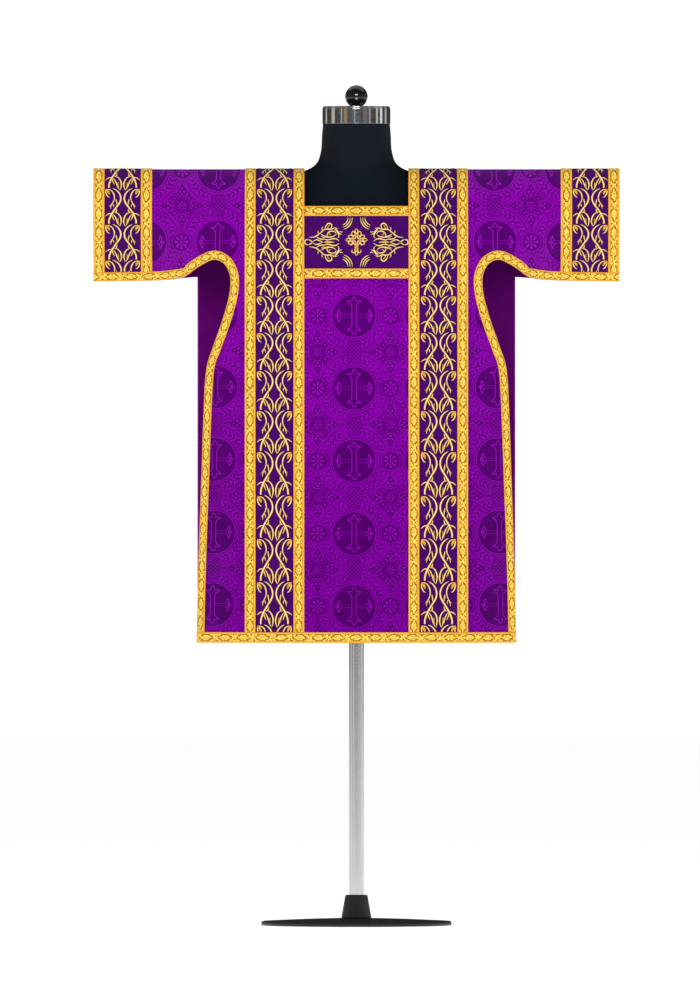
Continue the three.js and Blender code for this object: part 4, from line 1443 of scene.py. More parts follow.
    def strip_down(
        self, node: str, low: float, high: float, is_braid: bool, hand: Hand,
        heights: Callable[[Array], Array],
    ) -> Piece:
        """A strip down the cloth.

        Args:
            node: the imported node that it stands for.
            low: its neighbour's edge on the inner side.
            high: its neighbour's edge on the outer side, or the cuff's own edge.
            is_braid: braid, or else embroidered band.
            hand: the side panel that it lies on.
            heights: gives the grid's heights from its columns.

        Returns:
            The piece.
        """
        inset = 0.0 if high == CUT.half_span else CUT.half_gap
        low, high = low + CUT.half_gap, high - inset
        centre, half = (low + high) / 2, (high - low) / 2
        columns = centre + self.strip_columns(half)
        z = heights(columns)
        x = np.broadcast_to(columns, z.shape)
        length = self.hung_length(centre, float(z[0].mean()), float(z[-1].mean()))
        patch = self.sewn(x, z, self.drape.pattern_at(x, z), x - centre)
        return self.strip(node, [patch], is_braid, (2 * half * MM, length), hand)

    def banded(
        self, band: str, braid: str, marks: Sequence[float], heights: Callable[[Array], Array]
    ) -> None:
        """An embroidered band between two braids, on each hand.

        Args:
            band: first word of the band's node.
            braid: first words of the braids' nodes.
            marks: edges of the three strips, outwards.
            heights: gives a grid's heights from its columns.
        """
        for hand in Hand:
            stem = f"{self.side.word}_{hand.word}"
            self.strip_down(f"{band}_{stem}", *marks[1:3], False, hand, heights)
            self.strip_down(f"{braid}_{stem}_inner", *marks[:2], True, hand, heights)
            self.strip_down(f"{braid}_{stem}_outer", *marks[2:], True, hand, heights)

    def orphreys(self) -> None:
        """The bands and braids from the shoulder to the hem braid."""
        rows = crown_rows(CUT.shoulder_z, CUT.hem_braid_top + CUT.half_gap, self.STEP)
        marks = (CUT.orphrey_inner, CUT.band_inner, CUT.band_outer, CUT.orphrey_outer)
        self.banded("orphrey", "orphrey_braid", marks, lambda x: np.repeat(rows[:, None], len(x), 1))

    def cuffs(self) -> None:
        """The bands and braids round each sleeve, down to the braid on its lower edge."""
        marks = (CUT.cuff_inner, CUT.cuff_band_inner, CUT.cuff_band_outer, CUT.half_span)
        rise = CUT.edge_braid + CUT.half_gap
        self.banded("cuff_band", "cuff_braid", marks, lambda x: self.sleeve_heights(sleeve_edge_z(x) + rise))

    def strip_across(
        self, node: str, half_length: float, top: float, foot: float, is_braid: bool = True
    ) -> Piece:
        """A strip across the centre of the cloth, between its own two edges."""
        centre, half = (top + foot) / 2, (top - foot) / 2
        columns = stations([-half_length, 0, half_length], self.STEP)
        x, z = np.meshgrid(columns, centre - self.strip_columns(half))
        line = self.drape.over(columns, np.full(len(columns), centre))
        flat = (self.hung_length(0, top, foot), float(run_along(line)[-1]))
        return self.strip(node, [self.sewn(x, z, x, z - centre)], is_braid, flat)

    def hem(self) -> None:
        """Braid along the hem."""
        top = CUT.hem_braid_top - CUT.half_gap
        self.strip_across(f"hem_braid_{self.side.word}", CUT.body_half, top, CUT.hem_z)

    def edge_braids(self) -> None:
        """Braid along the sleeve's lower edge and the open side of each hand."""
        for hand in Hand:
            if self.side is Side.FRONT:
                self.front_edge_braid(hand)
            else:
                self.back_edge_braid(hand)

    def front_edge_braid(self, hand: Hand) -> Piece:
        """Braid round the sleeve's edge, the armhole and the side, in one length."""
        _, braid, edge = self.edge_grid()
        foot = CUT.hem_braid_top + CUT.half_gap
        keep = edge[:, 1] > foot
        braid, edge = (
            np.concatenate([line[keep], [[line[keep][-1, 0], foot]]]) for line in (braid, edge)
        )
        half = CUT.edge_braid / 2 - CUT.half_gap / 2
        across = self.strip_columns(half)
        share = (across + half + CUT.half_gap) / CUT.edge_braid
        points = braid[:, None] + (edge - braid)[:, None] * share[None, :, None]
        run = run_along(self.drape.over(*((braid + edge) / 2).T)) / MM
        patch = self.sewn(points[..., 0], points[..., 1], run[:, None], across)
        flat = (2 * half * MM, float(run[-1]) * MM)
        return self.strip(f"edge_braid_front_{hand.word}", [patch], True, flat, hand)

    def back_edge_braid(self, hand: Hand) -> Piece:
        """Braid along the back's plain right-angled edge: a leg under the sleeve and one down the
        side. They meet on the mitre of the corner."""
        half = CUT.edge_braid / 2 - CUT.half_gap / 2
        across = self.strip_columns(half)
        corner_x, corner_z = CUT.body_half, float(sleeve_edge_z(CUT.body_half))
        run = stations([0, CUT.cuff_inner - corner_x, CUT.half_span - corner_x], self.STEP)
        out = half - across
        x = corner_x - out + run[:, None] * (1 + out / run[-1])
        z = sleeve_edge_z(np.maximum(x, corner_x)) + out
        foot = CUT.hem_braid_top + CUT.half_gap
        fall = stations([0, corner_z - foot], self.STEP)[::-1, None]
        side_z = foot + (corner_z + out - foot) * (1 - fall / fall[0])
        side_x = np.broadcast_to(corner_x - out, side_z.shape)
        legs = [self.sewn(x, z, run[:, None], across), self.sewn(side_x, side_z, -fall, across)]
        length = float(run[-1] + fall[0, 0] + 2 * half) * MM
        width = sum(self.braid_area(leg) for leg in legs) / length
        return self.strip(f"edge_braid_back_{hand.word}", legs, True, (width, length), hand)

    def braid_area(self, leg: Patch) -> float:
        """Area of a patch, half way through a braid on the cloth, in square metres."""
        points = self.drape.over(leg.x, leg.z, CUT.gap + CUT.braid_wall / 2)
        rising, falling = points[1:, 1:] - points[:-1, :-1], points[1:, :-1] - points[:-1, 1:]
        return float(np.linalg.norm(np.cross(rising, falling), axis=-1).sum() / 2)

    def neck(self) -> None:
        """Between the orphreys: the chest band and its braids in front, one braid behind."""
        gap, half = CUT.half_gap, CUT.orphrey_inner - CUT.half_gap
        top = self.neck_z - CUT.braid
        if self.side is Side.BACK:
            self.strip_across("neck_braid_back", half, self.neck_z, top + gap)
            return
        foot = top - CUT.chest_band
        self.strip_across("chest_braid_upper", half, self.neck_z, top + gap)
        self.strip_across("chest_band", half, top - gap, foot + gap, is_braid=False)
        self.strip_across("chest_braid_lower", half, foot - gap, foot - CUT.braid + gap)

    def build(self) -> None:
        """Makes and dresses every piece of this side."""
        self.panels()
        if self.side is Side.BACK:
            self.lining()
        self.orphreys()
        self.cuffs()
        self.neck()
        self.hem()
        self.edge_braids()


# Embroidery


@dataclass(frozen=True)
class Stroke:
    """A line of satin stitch: points across and down in millimetres, its greatest width, whether
    its start and end run to a point, and how far its middle is toned from the painted highlight
    down to gold."""

    path: tuple[Point, ...]
    width: float
    sharp_start: bool = True
    sharp_end: bool = True
    tone: float = 0.0


@dataclass(frozen=True)
class Placing:
    """Where a stroke goes on the cloth: mirrored across and up, then moved."""

    x: float
    height: float
    flip_x: int = 1
    flip_y: int = 1

    @property
    def turned(self) -> bool:
        """Whether the stroke's faces turn over."""
        return self.flip_x * self.flip_y < 0

    def heights(self, up: Array) -> Array:
        """Pattern heights of places in the stroke's own measure."""
        return self.height + self.flip_y * up

    def put(self, flat: Array) -> Array:
        """Places across and pattern heights of a stroke's points."""
        return np.stack([self.x + self.flip_x * flat[..., 0], self.heights(flat[..., 1])], -1)


@dataclass(frozen=True)
class VinePlacing(Placing):
    """Where a stroke of the vine goes. Its height is read between the heights of the leaves, by the
    number of its repeat and its own share of one. The vine is drawn downwards."""

    flip_y: int = -1
    leaves: tuple[float, ...] = ()

    def heights(self, up: Array) -> Array:
        """Pattern heights of places in the stroke's own measure. height is the repeat's number."""
        at = self.height + (up - VINE_LEAF) / VINE_REPEAT
        return np.interp(at, np.arange(len(self.leaves)), self.leaves)


# Pattern heights of the vine's leaves on the orphreys, where the repeat grows towards the hem, and
# the first one on the cuffs, where it doesn't
VINE_LEAF = 35.7
ORPHREY_LEAVES = (
    1539.9, 1468.7, 1397.5, 1327.2, 1255.4, 1181.9, 1106.1, 1026.4, 944.7, 857.0, 771.3, 685.2,
    598.9, 512.5,
)
CUFF_LEAF = 1470.2

# One repeat of the vine, from the band's centre line outwards and down. It is mirrored.
VINE_REPEAT = 70.8
CUFF_LEAVES = tuple(CUFF_LEAF - VINE_REPEAT * number for number in range(-2, 4))
VINE = (
    Stroke(((12.1, 0), (17.2, 7), (21.7, 13.4), (25.3, 21), (27.2, 27.4), (27, 32.6)), 4.0, False, False),
    Stroke(((20.6, 33.4), (12.6, 37.4), (6.2, 44), (3.3, 52.9), (5, 60.6), (8.6, 66.4), (12.1, 70.8)), 3.9,
           True, False),
    Stroke(((20.6, 12.4), (15.2, 18.4), (12.2, 25), (9.8, 31.4), (5.4, 37.8)), 3.1),
    Stroke(((5.4, 38), (3.1, 32), (2.5, 25.4), (4.6, 18), (9.4, 12.4), (15.6, 10.2)), 3.7),
    Stroke(((16.4, 11.4), (12.6, 9.2), (11.2, 3.6)), 3.7, tone=0.32),
    Stroke(((22.2, 13.2), (19.8, 19.6), (16.4, 26.4)), 3.4, tone=0.32),
    Stroke(((21.6, 12.6), (28.4, 13.6), (35, 18)), 2.9, tone=0.21),
    Stroke(((13.2, 54.6), (11.9, 60.4), (10.8, 68)), 3.3, tone=0.21),
    Stroke(((33.8, 35.4), (26, 36.4), (20, 40.8), (16.4, 49), (16.9, 56.8), (20.6, 63.6), (26.8, 70)), 3.2),
    Stroke(((34.2, 36.8), (30.6, 38.8), (27.2, 42.6), (26.4, 46.2)), 6.7, False, tone=0.6),
    Stroke(((33.8, 35.4), (33.6, 42.2), (30, 49.2), (25.6, 51.8)), 3.3),
    Stroke(((20.8, 64), (23, 68.6), (23.8, 74.4)), 2.9, tone=0.32),
    Stroke(((20.4, 63.4), (18.2, 66.8), (17.4, 71)), 2.7, tone=0.21),
    Stroke(((8.6, 21.4), (9.2, 27), (7.4, 33)), 2.8, tone=0.42),
)

# A quarter of the chest panel's scroll: across from the panel's centre and up from its middle
SCROLL = (
    Stroke(((95.5, 5.6), (101.4, 3.8), (103, 0)), 2.8, True, False),
    Stroke(((95.5, 5.6), (91, 3.0), (87.6, 0)), 2.8),
    Stroke(((88.4, 0.4), (80, 4.8), (72.6, 2.6), (66.6, 0)), 2.9),
    Stroke(((94.4, 9.4), (85, 10.2), (77.4, 13.6), (72, 18.4), (65.4, 21.4)), 3.1),
    Stroke(((80, 11.6), (75.4, 7.8), (69, 5.8), (62.4, 5.8), (56, 1.4)), 2.9),
    Stroke(((71.8, 16.8), (64.4, 12.2), (56, 10), (47, 11), (39.6, 15.8)), 3.4),
    Stroke(((62.6, 5.2), (54, 4.8), (46, 7), (39.4, 5.8), (34, 1.8)), 3.4),
    Stroke(((39.6, 15.8), (43.4, 20.8), (50, 21.8), (56.2, 18.8), (58.6, 13.4), (54.6, 10.4)), 3.1),
    Stroke(((73, 17.6), (66, 24), (58, 25.8), (50.4, 25.4), (43, 28.6), (36, 26)), 3.3),
    Stroke(((62.6, 25), (60.6, 32.4), (55.4, 37.4), (49.6, 35.2), (49.4, 29.4), (53, 26)), 3.6),
    Stroke(((57.6, 26.6), (56, 31.2), (53.2, 33.6)), 2.8, tone=0.5),
    Stroke(((67.4, 22.4), (68.6, 27), (66, 30.8)), 2.6, tone=0.3),
    Stroke(((74.6, 16), (76.8, 20.2), (75.6, 23.6)), 2.4, tone=0.3),
    Stroke(((43.4, 28.4), (38.2, 22.6), (34, 17.2), (28.6, 15)), 3.1),
    Stroke(((45, 25.4), (38.4, 20.4), (34.6, 12.4), (38, 7.4)), 2.8),
    Stroke(((49.6, 14.6), (54.4, 15.6), (52.8, 18.8)), 2.4, tone=0.5),
    Stroke(((65.4, 0), (58, 1.2), (50, 0.6), (43.6, 0)), 2.6, tone=0.4),
    Stroke(((70.6, 12.4), (66, 9.6), (61.4, 9.2)), 2.6, tone=0.4),
    Stroke(((33.8, 21.6), (29.8, 19.8), (27.6, 21.8)), 2.2),
)

# Three curved sprays beside the centre: reach from the curve's own centre, and width
SPRAY_REACH = ((24.4, 2.7), (20.0, 2.7), (15.6, 2.7))
SPRAY_CENTRE = (32.4, 48.6)
SPRAY_ARC = (-74.0, 3.0)


class Embroidery:
    """Satin-stitch strokes raised on a band.

    A stroke is a tube carried along its smooth path. The section is flat below and arched above,
    with a low rim on both sides that is painted near black as shadow round the stroke. Its half
    width follows a root towards sharp ends, and every point is put on the cloth at its place across
    and its pattern height. A stroke that passes an end of its band is cut there.
    """

    STEPS = 11
    ARCH = np.array([
        (-1.0, 0.0), (-1.0, 0.16), (-0.84, 0.5), (-0.46, 0.88), (0.0, 1.0), (0.46, 0.88), (0.84, 0.5),
        (1.0, 0.16), (1.0, 0.0),
    ])
    EDGE = 1.9  # how far the low rim, painted near black as shadow, reaches past the stitch at its foot
    SINK = 0.05  # how far the foot of a stitch is below the band's face
    CLEAR = 0.6  # how far a stitch stays from the band's ends
    PLACES = 49  # places on a path that are tried against the band's ends
    SHORTEST = 5  # fewest of these places that are worth a stitch
    START_TAPER = 0.45  # share of the path over which a sharp start widens
    END_TAPER = 0.55
    TIP = 0.004  # square of a sharp tip's width over the full one
    LOW = 0.25  # height that a stitch would keep at no width, over its full one

    def __init__(self, drape: Drape, thread: Look) -> None:
        """Keeps the surface and the thread."""
        self.drape = drape
        self.thread = thread

    def kept(self, stroke: Stroke, place: Placing, foot: float, top: float) -> Point | None:
        """The longest stretch of a stroke inside its band, as shares of its path, or none."""
        share = np.linspace(0, 1, self.PLACES)
        middle = catmull_rom(np.array(stroke.path, float), share * (len(stroke.path) - 1))
        height = place.put(middle)[:, 1]
        inside = np.concatenate([[False], (height > foot) & (height < top), [False]])
        starts = np.flatnonzero(inside[1:] & ~inside[:-1])
        ends = np.flatnonzero(inside[:-1] & ~inside[1:]) - 1
        best = int(np.argmax(ends - starts)) if len(starts) else 0
        if len(starts) == 0 or ends[best] - starts[best] < self.SHORTEST:
            return None
        return float(share[starts[best]]), float(share[ends[best]])

    def tube(self, stroke: Stroke, first: float, last: float) -> tuple[Array, Array, Array]:
        """A stroke's section points between two shares of its path: across and down, height, and
        their pattern places."""
        share = np.linspace(first, last, self.STEPS + 1)
        middle = catmull_rom(np.array(stroke.path, float), share * (len(stroke.path) - 1))
        full = np.ones_like(share)
        if stroke.sharp_start:
            full = full * np.sqrt(np.clip(share / self.START_TAPER, self.TIP, 1))
        if stroke.sharp_end:
            full = full * np.sqrt(np.clip((1 - share) / self.END_TAPER, self.TIP, 1))
        run = run_along(middle)
        along = unit(np.gradient(middle, axis=0))
        sideways = np.stack([-along[:, 1], along[:, 0]], -1)
        spread = self.ARCH[:, 0][None, :] * (stroke.width / 2 * full)[:, None]
        # The outermost points spread out into a low rim, which the thread's finish paints near black as
        # shadow
        spread[:, 0] -= self.EDGE
        spread[:, -1] += self.EDGE
        flat = middle[:, None] + sideways[:, None] * spread[..., None]
        height = self.ARCH[:, 1][None, :] * (self.LOW + (1 - self.LOW) * full[:, None])
        # The second pattern place runs from the stroke's middle to 1 at its rim; the thread's finish paints
        # highlight, shade and shadow by it
        tone = stroke.tone + (1 - stroke.tone) * np.abs(self.ARCH[:, 0])
        uv = np.stack(np.broadcast_arrays(run[:, None] * MM, tone[None, :]), -1)
        return flat, height, uv

    def sew(
        self, name: str, strokes: Sequence[tuple[Stroke, Placing]], foot: float, top: float
    ) -> Piece:
        """Makes one object of many strokes.

        Args:
            name: name of the piece.
            strokes: each stroke with its place.
            foot: pattern height of the band's lower end.
            top: pattern height of its upper end.

        Returns:
            The object.
        """
        flats, heights, uvs, faces = [], [], [], []
        sides, rings = len(self.ARCH), self.STEPS + 1
        grid = np.arange(rings * sides).reshape(rings, sides)
        here, there = grid[:-1], grid[1:]
        skin = np.stack([here, np.roll(here, -1, 1), np.roll(there, -1, 1), there], -1).reshape(-1, 4)
        start, end = grid[0], grid[-1]
        caps = []
        for low in range(sides // 2):
            high = sides - 1 - low
            caps.append((start[low], start[high], start[high - 1], start[low + 1]))
            caps.append((end[low + 1], end[high - 1], end[high], end[low]))
        local = np.concatenate([skin, np.array(caps)])
        for stroke, place in strokes:
            stretch = self.kept(stroke, place, foot + self.CLEAR, top - self.CLEAR)
            if stretch is None:
                continue
            flat, height, uv = self.tube(stroke, *stretch)
            faces.append((local[:, ::-1] if place.turned else local) + len(flats) * grid.size)
            flats.append(place.put(flat))
            heights.append(height)
            uvs.append(uv)
        flat = np.concatenate([f.reshape(-1, 2) for f in flats])
        height = np.concatenate([h.ravel() for h in heights])
        turn = self.drape.turn_at_pattern(flat[:, 0], flat[:, 1])
        base = CUT.gap + CUT.band_wall - self.SINK
        points = self.drape.lifted(flat[:, 0], turn, base + height)
        corners = np.concatenate(faces)
        if self.drape.side is Side.BACK:
            corners = corners[:, ::-1]
        closed = [list(dict.fromkeys(row)) for row in corners.tolist()]
        order = [corner for row in closed for corner in row]
        uv = np.concatenate([u.reshape(-1, 2) for u in uvs])
        return dress(make_mesh(name, points, closed, uv[order]), self.thread)


class BandEmbroidery:
    """The vine on the orphreys and cuffs, and the scrolls, sprays and cross on the chest."""

    def __init__(self, cloth: SideCloth) -> None:
        """Keeps the side that is embroidered."""
        self.cloth = cloth
        self.stitcher = Embroidery(cloth.drape, cloth.wardrobe.thread)

    def vine(self, word: str, centre: float, foot_z: float, leaves: tuple[float, ...]) -> None:
        """Repeats the vine down the bands of both hands.

        Args:
            word: first word of the pieces.
            centre: distance of the bands' centre line from the garment's.
            foot_z: height of the bands' lower end in the front view.
            leaves: pattern height of the leaf in each repeat, from above the band to below it.
        """
        for hand in Hand:
            x = hand.value * centre
            ends = self.cloth.drape.pattern_at(np.array([x, x]), np.array([CUT.shoulder_z, foot_z]))
            strokes = [
                (stroke, VinePlacing(x, number, flip, leaves=leaves))
                for number in range(len(leaves)) for stroke in VINE for flip in (-1, 1)
            ]
            top, foot = map(float, ends)
            self.stitcher.sew(f"{word}_{self.cloth.side.word}_{hand.word}", strokes, foot, top)

    def chest(self) -> None:
        """Scrolls on both sides of an ornate cross, with sprays between."""
        middle = CUT.chest_band_foot + CUT.chest_band / 2
        strokes = [
            (stroke, Placing(0.0, middle, flip_x, flip_y))
            for flip_x in (-1, 1) for flip_y in (-1, 1) for stroke in (*SCROLL, *self.sprays())
        ]
        strokes += [(stroke, Placing(0.0, middle)) for stroke in self.cross()]
        top = middle + CUT.chest_band / 2
        self.stitcher.sew("chest_embroidery", strokes, CUT.chest_band_foot, top)

    @staticmethod
    def sprays() -> list[Stroke]:
        """Three arcs about one centre, in a quarter of the panel."""
        angles = np.radians(np.linspace(*SPRAY_ARC, 5))
        centre = np.array(SPRAY_CENTRE)
        ring = np.stack([-np.cos(angles), np.sin(angles)], -1)
        return [Stroke(tuple(map(tuple, centre + reach * ring)), width) for reach, width in SPRAY_REACH]

    @staticmethod
    def cross() -> list[Stroke]:
        """A cross with a longer foot: doubled arms that end in three-leaved fleurons, a broken ring
        about the crossing, and a ray in each quarter."""
        crossing = np.array([0.0, 4.5])

        def spot(turn: float, out: float, aside: float = 0.0) -> Point:
            """The place out along a bearing from the crossing, and aside from that line."""
            along = np.array([math.cos(turn), math.sin(turn)])
            beside = np.array([-math.sin(turn), math.cos(turn)])
            return tuple(crossing + along * out + beside * aside)

        strokes = []
        for angle, reach in ((0, 13.0), (90, 13.5), (180, 13.0), (270, 22.5)):
            turn = math.radians(angle)
            for way in (-1, 1):
                rail = ((1.6 - reach, 2.7), (-reach * 0.4, 2.3), (0.0, 2.9))
                petal = ((-1, 2.2), (2.6, 4.4), (2.4, 8.0), (-1.4, 9.3), (-3.4, 7.0))
                leaf = ((-0.6, 0.9), (3.8, 3.0), (9.0, 0.0))
                for path, width, is_sharp, tone in (
                    (rail, 3.0, False, 0.32), (petal, 3.1, True, 0.32), (leaf, 2.9, True, 0.25)
                ):
                    points = tuple(spot(turn, reach + out, aside * way) for out, aside in path)
                    strokes.append(Stroke(points, width, False, is_sharp, tone))
            collar = ((reach - 1.2, -4.6), (reach - 0.4, 0.0), (reach - 1.2, 4.6))
            strokes.append(Stroke(tuple(spot(turn, *place) for place in collar), 2.4))
            spine = (3.0, reach / 2, reach - 2)
            strokes.append(Stroke(tuple(spot(turn, out) for out in spine), 2.2, tone=0.6))
            corner = turn + math.pi / 4
            bow = tuple(spot(corner + step, 9.6) for step in (-0.5, -0.25, 0.0, 0.25, 0.5))
            ray = tuple(spot(corner, out) for out in (7.0, 11.0, 16.5))
            strokes += [Stroke(bow, 2.6), Stroke(ray, 3.0)]
        return strokes

    def build(self) -> None:
        """Sews every band of this side."""
        self.vine("vine", CUT.orphrey_centre, CUT.hem_braid_top, ORPHREY_LEAVES)
        cuff_foot = float(sleeve_edge_z(CUT.cuff_centre)) + CUT.edge_braid
        self.vine("cuff_vine", CUT.cuff_centre, cuff_foot, CUFF_LEAVES)
        if self.cloth.side is Side.FRONT:
            self.chest()


# Dress form and stand


@dataclass(frozen=True)
class FormRing:
    """One ring of the torso. Its height eases from side_z at the flanks to front_z at front and
    back."""

    wide: float
    deep: float
    side_z: float
    front_z: float


FORM_RINGS = (
    FormRing(67, 67, 1602, 1602),
    FormRing(69, 68, 1577, 1574),
    FormRing(71, 69, 1548, 1538),
    FormRing(81, 72, 1521.8, 1504.7),
    FormRing(110, 80, 1506.6, 1475.6),
    FormRing(150, 94, 1503.8, 1443.8),
    FormRing(186, 104, 1496, 1410),
    FormRing(203, 110, 1474, 1380),
    FormRing(203, 114, 1430, 1355),
    FormRing(190, 116, 1345, 1320),
    FormRing(178, 112, 1250, 1250),
    FormRing(162, 104, 1130, 1130),
    FormRing(170, 110, 1030, 1030),
    FormRing(182, 117, 920, 920),
    FormRing(180, 115, 848, 848),
    FormRing(173, 108, 828, 828),
    FormRing(158, 94, 822, 822),
)


def ring_faces(rings: int, segments: int) -> Array:
    """Quads between closed rings of points that are listed ring by ring."""
    grid = np.arange(rings * segments).reshape(rings, segments)
    here, there = grid[:-1], grid[1:]
    return np.stack([here, there, np.roll(there, -1, 1), np.roll(here, -1, 1)], -1).reshape(-1, 4)


class DressForm:
    """The limbless form and its stand, each piece turned or lofted round the pole's axis."""

    SEGMENTS = 96
    RINGS_BETWEEN = 5  # rings of the loft for each one of the table
    LIP_STEPS = 6
    BALL_STEPS = 36

    def __init__(self, wardrobe: Wardrobe) -> None:
        """Keeps the finishes, and a list of the pieces that take the glints."""
        self.wardrobe = wardrobe
        self.polished: list[Piece] = []

    def torso(self) -> Piece:
        """The torso: ellipses between smooth tables of width, depth and height. A ring's height
        moves from its side value to its front value with the square of the sine of the bearing."""
        table = np.array([(r.wide, r.deep, r.side_z, r.front_z) for r in FORM_RINGS])
        rings = (len(table) - 1) * self.RINGS_BETWEEN + 1
        wide, deep, side_z, front_z = catmull_rom(table, np.linspace(0, len(table) - 1, rings)).T[..., None]
        angle = np.linspace(0, 2 * math.pi, self.SEGMENTS, endpoint=False)[None, :]
        height = side_z + (front_z - side_z) * np.sin(angle) ** 2
        points = np.stack(np.broadcast_arrays(wide * np.cos(angle), deep * np.sin(angle), height), -1)
        points = points.reshape(-1, 3) * MM
        caps = np.stack([points[: self.SEGMENTS].mean(0), points[-self.SEGMENTS :].mean(0)])
        return self.lofted("form_torso_knit", points, caps, rings)

    def lofted(self, name: str, points: Array, caps: Array, rings: int) -> Piece:
        """Closes stacked rings with a fan at each end, from the cap points."""
        count = len(points)
        grid = np.arange(count).reshape(rings, -1)
        faces = ring_faces(rings, grid.shape[1]).tolist()
        top, foot = grid[0], grid[-1]
        faces += np.stack([np.full_like(top, count), top, np.roll(top, -1)], -1).tolist()
        faces += np.stack([np.full_like(foot, count + 1), np.roll(foot, -1), foot], -1).tolist()
        return make_mesh(name, np.concatenate([points, caps]), faces, sharp_degrees=38)

    def turned(self, name: str, profile: Sequence[Point]) -> Piece:
        """A solid of revolution: the profile's radius and height, top first, turned about Z and
        closed on the axis at both ends."""
        radius, height = np.array(profile, float).T[..., None] * MM
        angle = np.linspace(0, 2 * math.pi, self.SEGMENTS, endpoint=False)[None, :]
        parts = (radius * np.cos(angle), radius * np.sin(angle), height)
        points = np.stack(np.broadcast_arrays(*parts), -1).reshape(-1, 3)
        caps = np.array([(0, 0, height[0, 0]), (0, 0, height[-1, 0])])
        return self.lofted(name, points, caps, len(profile))

    def lip(self, radius: float, edge_z: float, round_by: float, is_upper: bool) -> list[Point]:
        """A quarter round at the end of a wall, top first."""
        way = 1 if is_upper else -1
        centre = edge_z - way * round_by
        points = [
            (radius - round_by + round_by * math.cos(a), centre + way * round_by * math.sin(a))
            for a in np.linspace(0, math.pi / 2, self.LIP_STEPS)
        ]
        return points[::-way]

    def drum(self, radius: float, foot: float, top: float, round_by: float) -> list[Point]:
        """Profile of a short cylinder with a rounded upper edge and a crisp lower one, top first."""
        crisp, clear = 0.1, 0.4
        straight = [(radius, top - round_by - clear), (radius, foot + crisp + clear)]
        return [*self.lip(radius, top, round_by, True), *straight, *self.lip(radius, foot, crisp, False)]

    def place(self, node: str, ending: str, look: Look, profile: Sequence[Point]) -> Piece:
        """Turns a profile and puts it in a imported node's place."""
        return dress(self.turned(f"{node}_{ending}", profile), look, node)

    @staticmethod
    def node_box(node: str) -> tuple[float, float, float]:
        """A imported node's radius, foot and top, in millimetres."""
        low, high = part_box(node)
        return high[0] / MM, low[2] / MM, high[2] / MM

    def head(self) -> None:
        """Chrome neck band, glossy cap and ball knob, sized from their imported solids."""
        finishes = self.wardrobe
        for node, look, edge in (("neck_band", finishes.chrome, 1.2), ("neck_cap", finishes.cap, 1.5)):
            profile = self.drum(*self.node_box(node), edge)
            self.polished.append(self.place(node, look.slot, look, profile))
        radius, foot, top = self.node_box("knob")
        centre = top - radius
        angles = np.linspace(math.pi / 2, -math.asin((centre - foot) / radius), self.BALL_STEPS)
        profile = [(radius * max(math.cos(a), 1e-3), centre + radius * math.sin(a)) for a in angles]
        self.polished.append(self.place("knob", "ball", finishes.gloss, profile))

    def stand(self) -> None:
        """Socket, pole, hub and round base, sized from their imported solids."""
        chrome, enamel = self.wardrobe.chrome, self.wardrobe.enamel
        self.place("pole", "tube", chrome, self.drum(*self.node_box("pole"), 1.0))
        radius, foot, top = self.node_box("pole_socket")
        socket = [*self.lip(radius, top, 1.5, True), *self.lip(radius * 0.8, foot, 2.0, False)]
        self.place("pole_socket", "cup", enamel, socket)
        radius, foot, top = self.node_box("base_hub")
        hub = [*self.lip(radius * 0.75, top, 2.5, True), *self.lip(radius, foot, 1.5, False)]
        self.place("base_hub", "cone", enamel, hub)
        radius, foot, top = self.node_box("base")
        rim, crown = 8.0, 34.0
        dome = [(crown * 0.4, top), (crown, top), (radius * 0.6, rim + 3.4)]
        edge = [*self.lip(radius, rim, 3.0, True), *self.lip(radius, foot, 1.0, False)]
        self.place("base", "plate", enamel, [*dome, *edge])

    def build(self) -> None:
        """Makes and dresses the form."""
        dress(self.torso(), self.wardrobe.jersey, "form_torso")
        self.head()
        self.stand()


# Studio


@dataclass(frozen=True)
class Strip:
    """A tall lamp that shows in the chrome. Its bearing is in degrees from the front, its power in
    watts for each square metre."""

    bearing: float
    width: float
    power: float
    colour: tuple[float, float, float]


STRIPS = (
    Strip(-124, 0.9, 2.4, (0.9, 0.82, 0.66)),
    Strip(-86, 1.5, 2.2, (0.9, 0.78, 0.6)),
    Strip(-52, 0.3, 2.8, (1.0, 0.95, 0.92)),
    Strip(-37, 1.1, 1.6, (0.75, 0.42, 0.12)),
    Strip(-6, 0.3, 2.0, (0.62, 0.74, 1.0)),
    Strip(30, 1.5, 0.7, (0.62, 0.52, 0.48)),
    Strip(46, 0.3, 2.8, (1.0, 0.78, 0.8)),
    Strip(74, 0.6, 3.0, (0.96, 0.92, 0.72)),
    Strip(93, 1.0, 3.6, (0.95, 0.97, 1.0)),
    Strip(118, 1.0, 2.4, (0.92, 0.86, 0.72)),
)


@dataclass(frozen=True)
class Lamp:
    """A rectangular lamp: its place and size in metres, and its power in watts."""

    name: str
    place: tuple[float, float, float]
    power: float
    size: Point
    colour: tuple[float, float, float] = (1.0, 1.0, 1.0)


SOFT_LAMPS = (
    Lamp("key", (-2.6, -4.4, 3.4), 100.0, (2.6, 2.6)),
    Lamp("fill", (3.2, -4.0, 1.8), 62.0, (3.0, 3.0)),
)
GLINT = (0.95, 0.98, 1.0)
GLINTS = (
    Lamp("high_glint", (0.0, -3.8, 2.9), 90.0, (1.5, 0.7), GLINT),
    Lamp("low_glint", (0.0, -3.6, 0.45), 34.0, (0.8, 0.5), GLINT),
    Lamp("over_glint", (0.3, 1.5, 5.4), 110.0, (9.0, 3.2), GLINT),
)


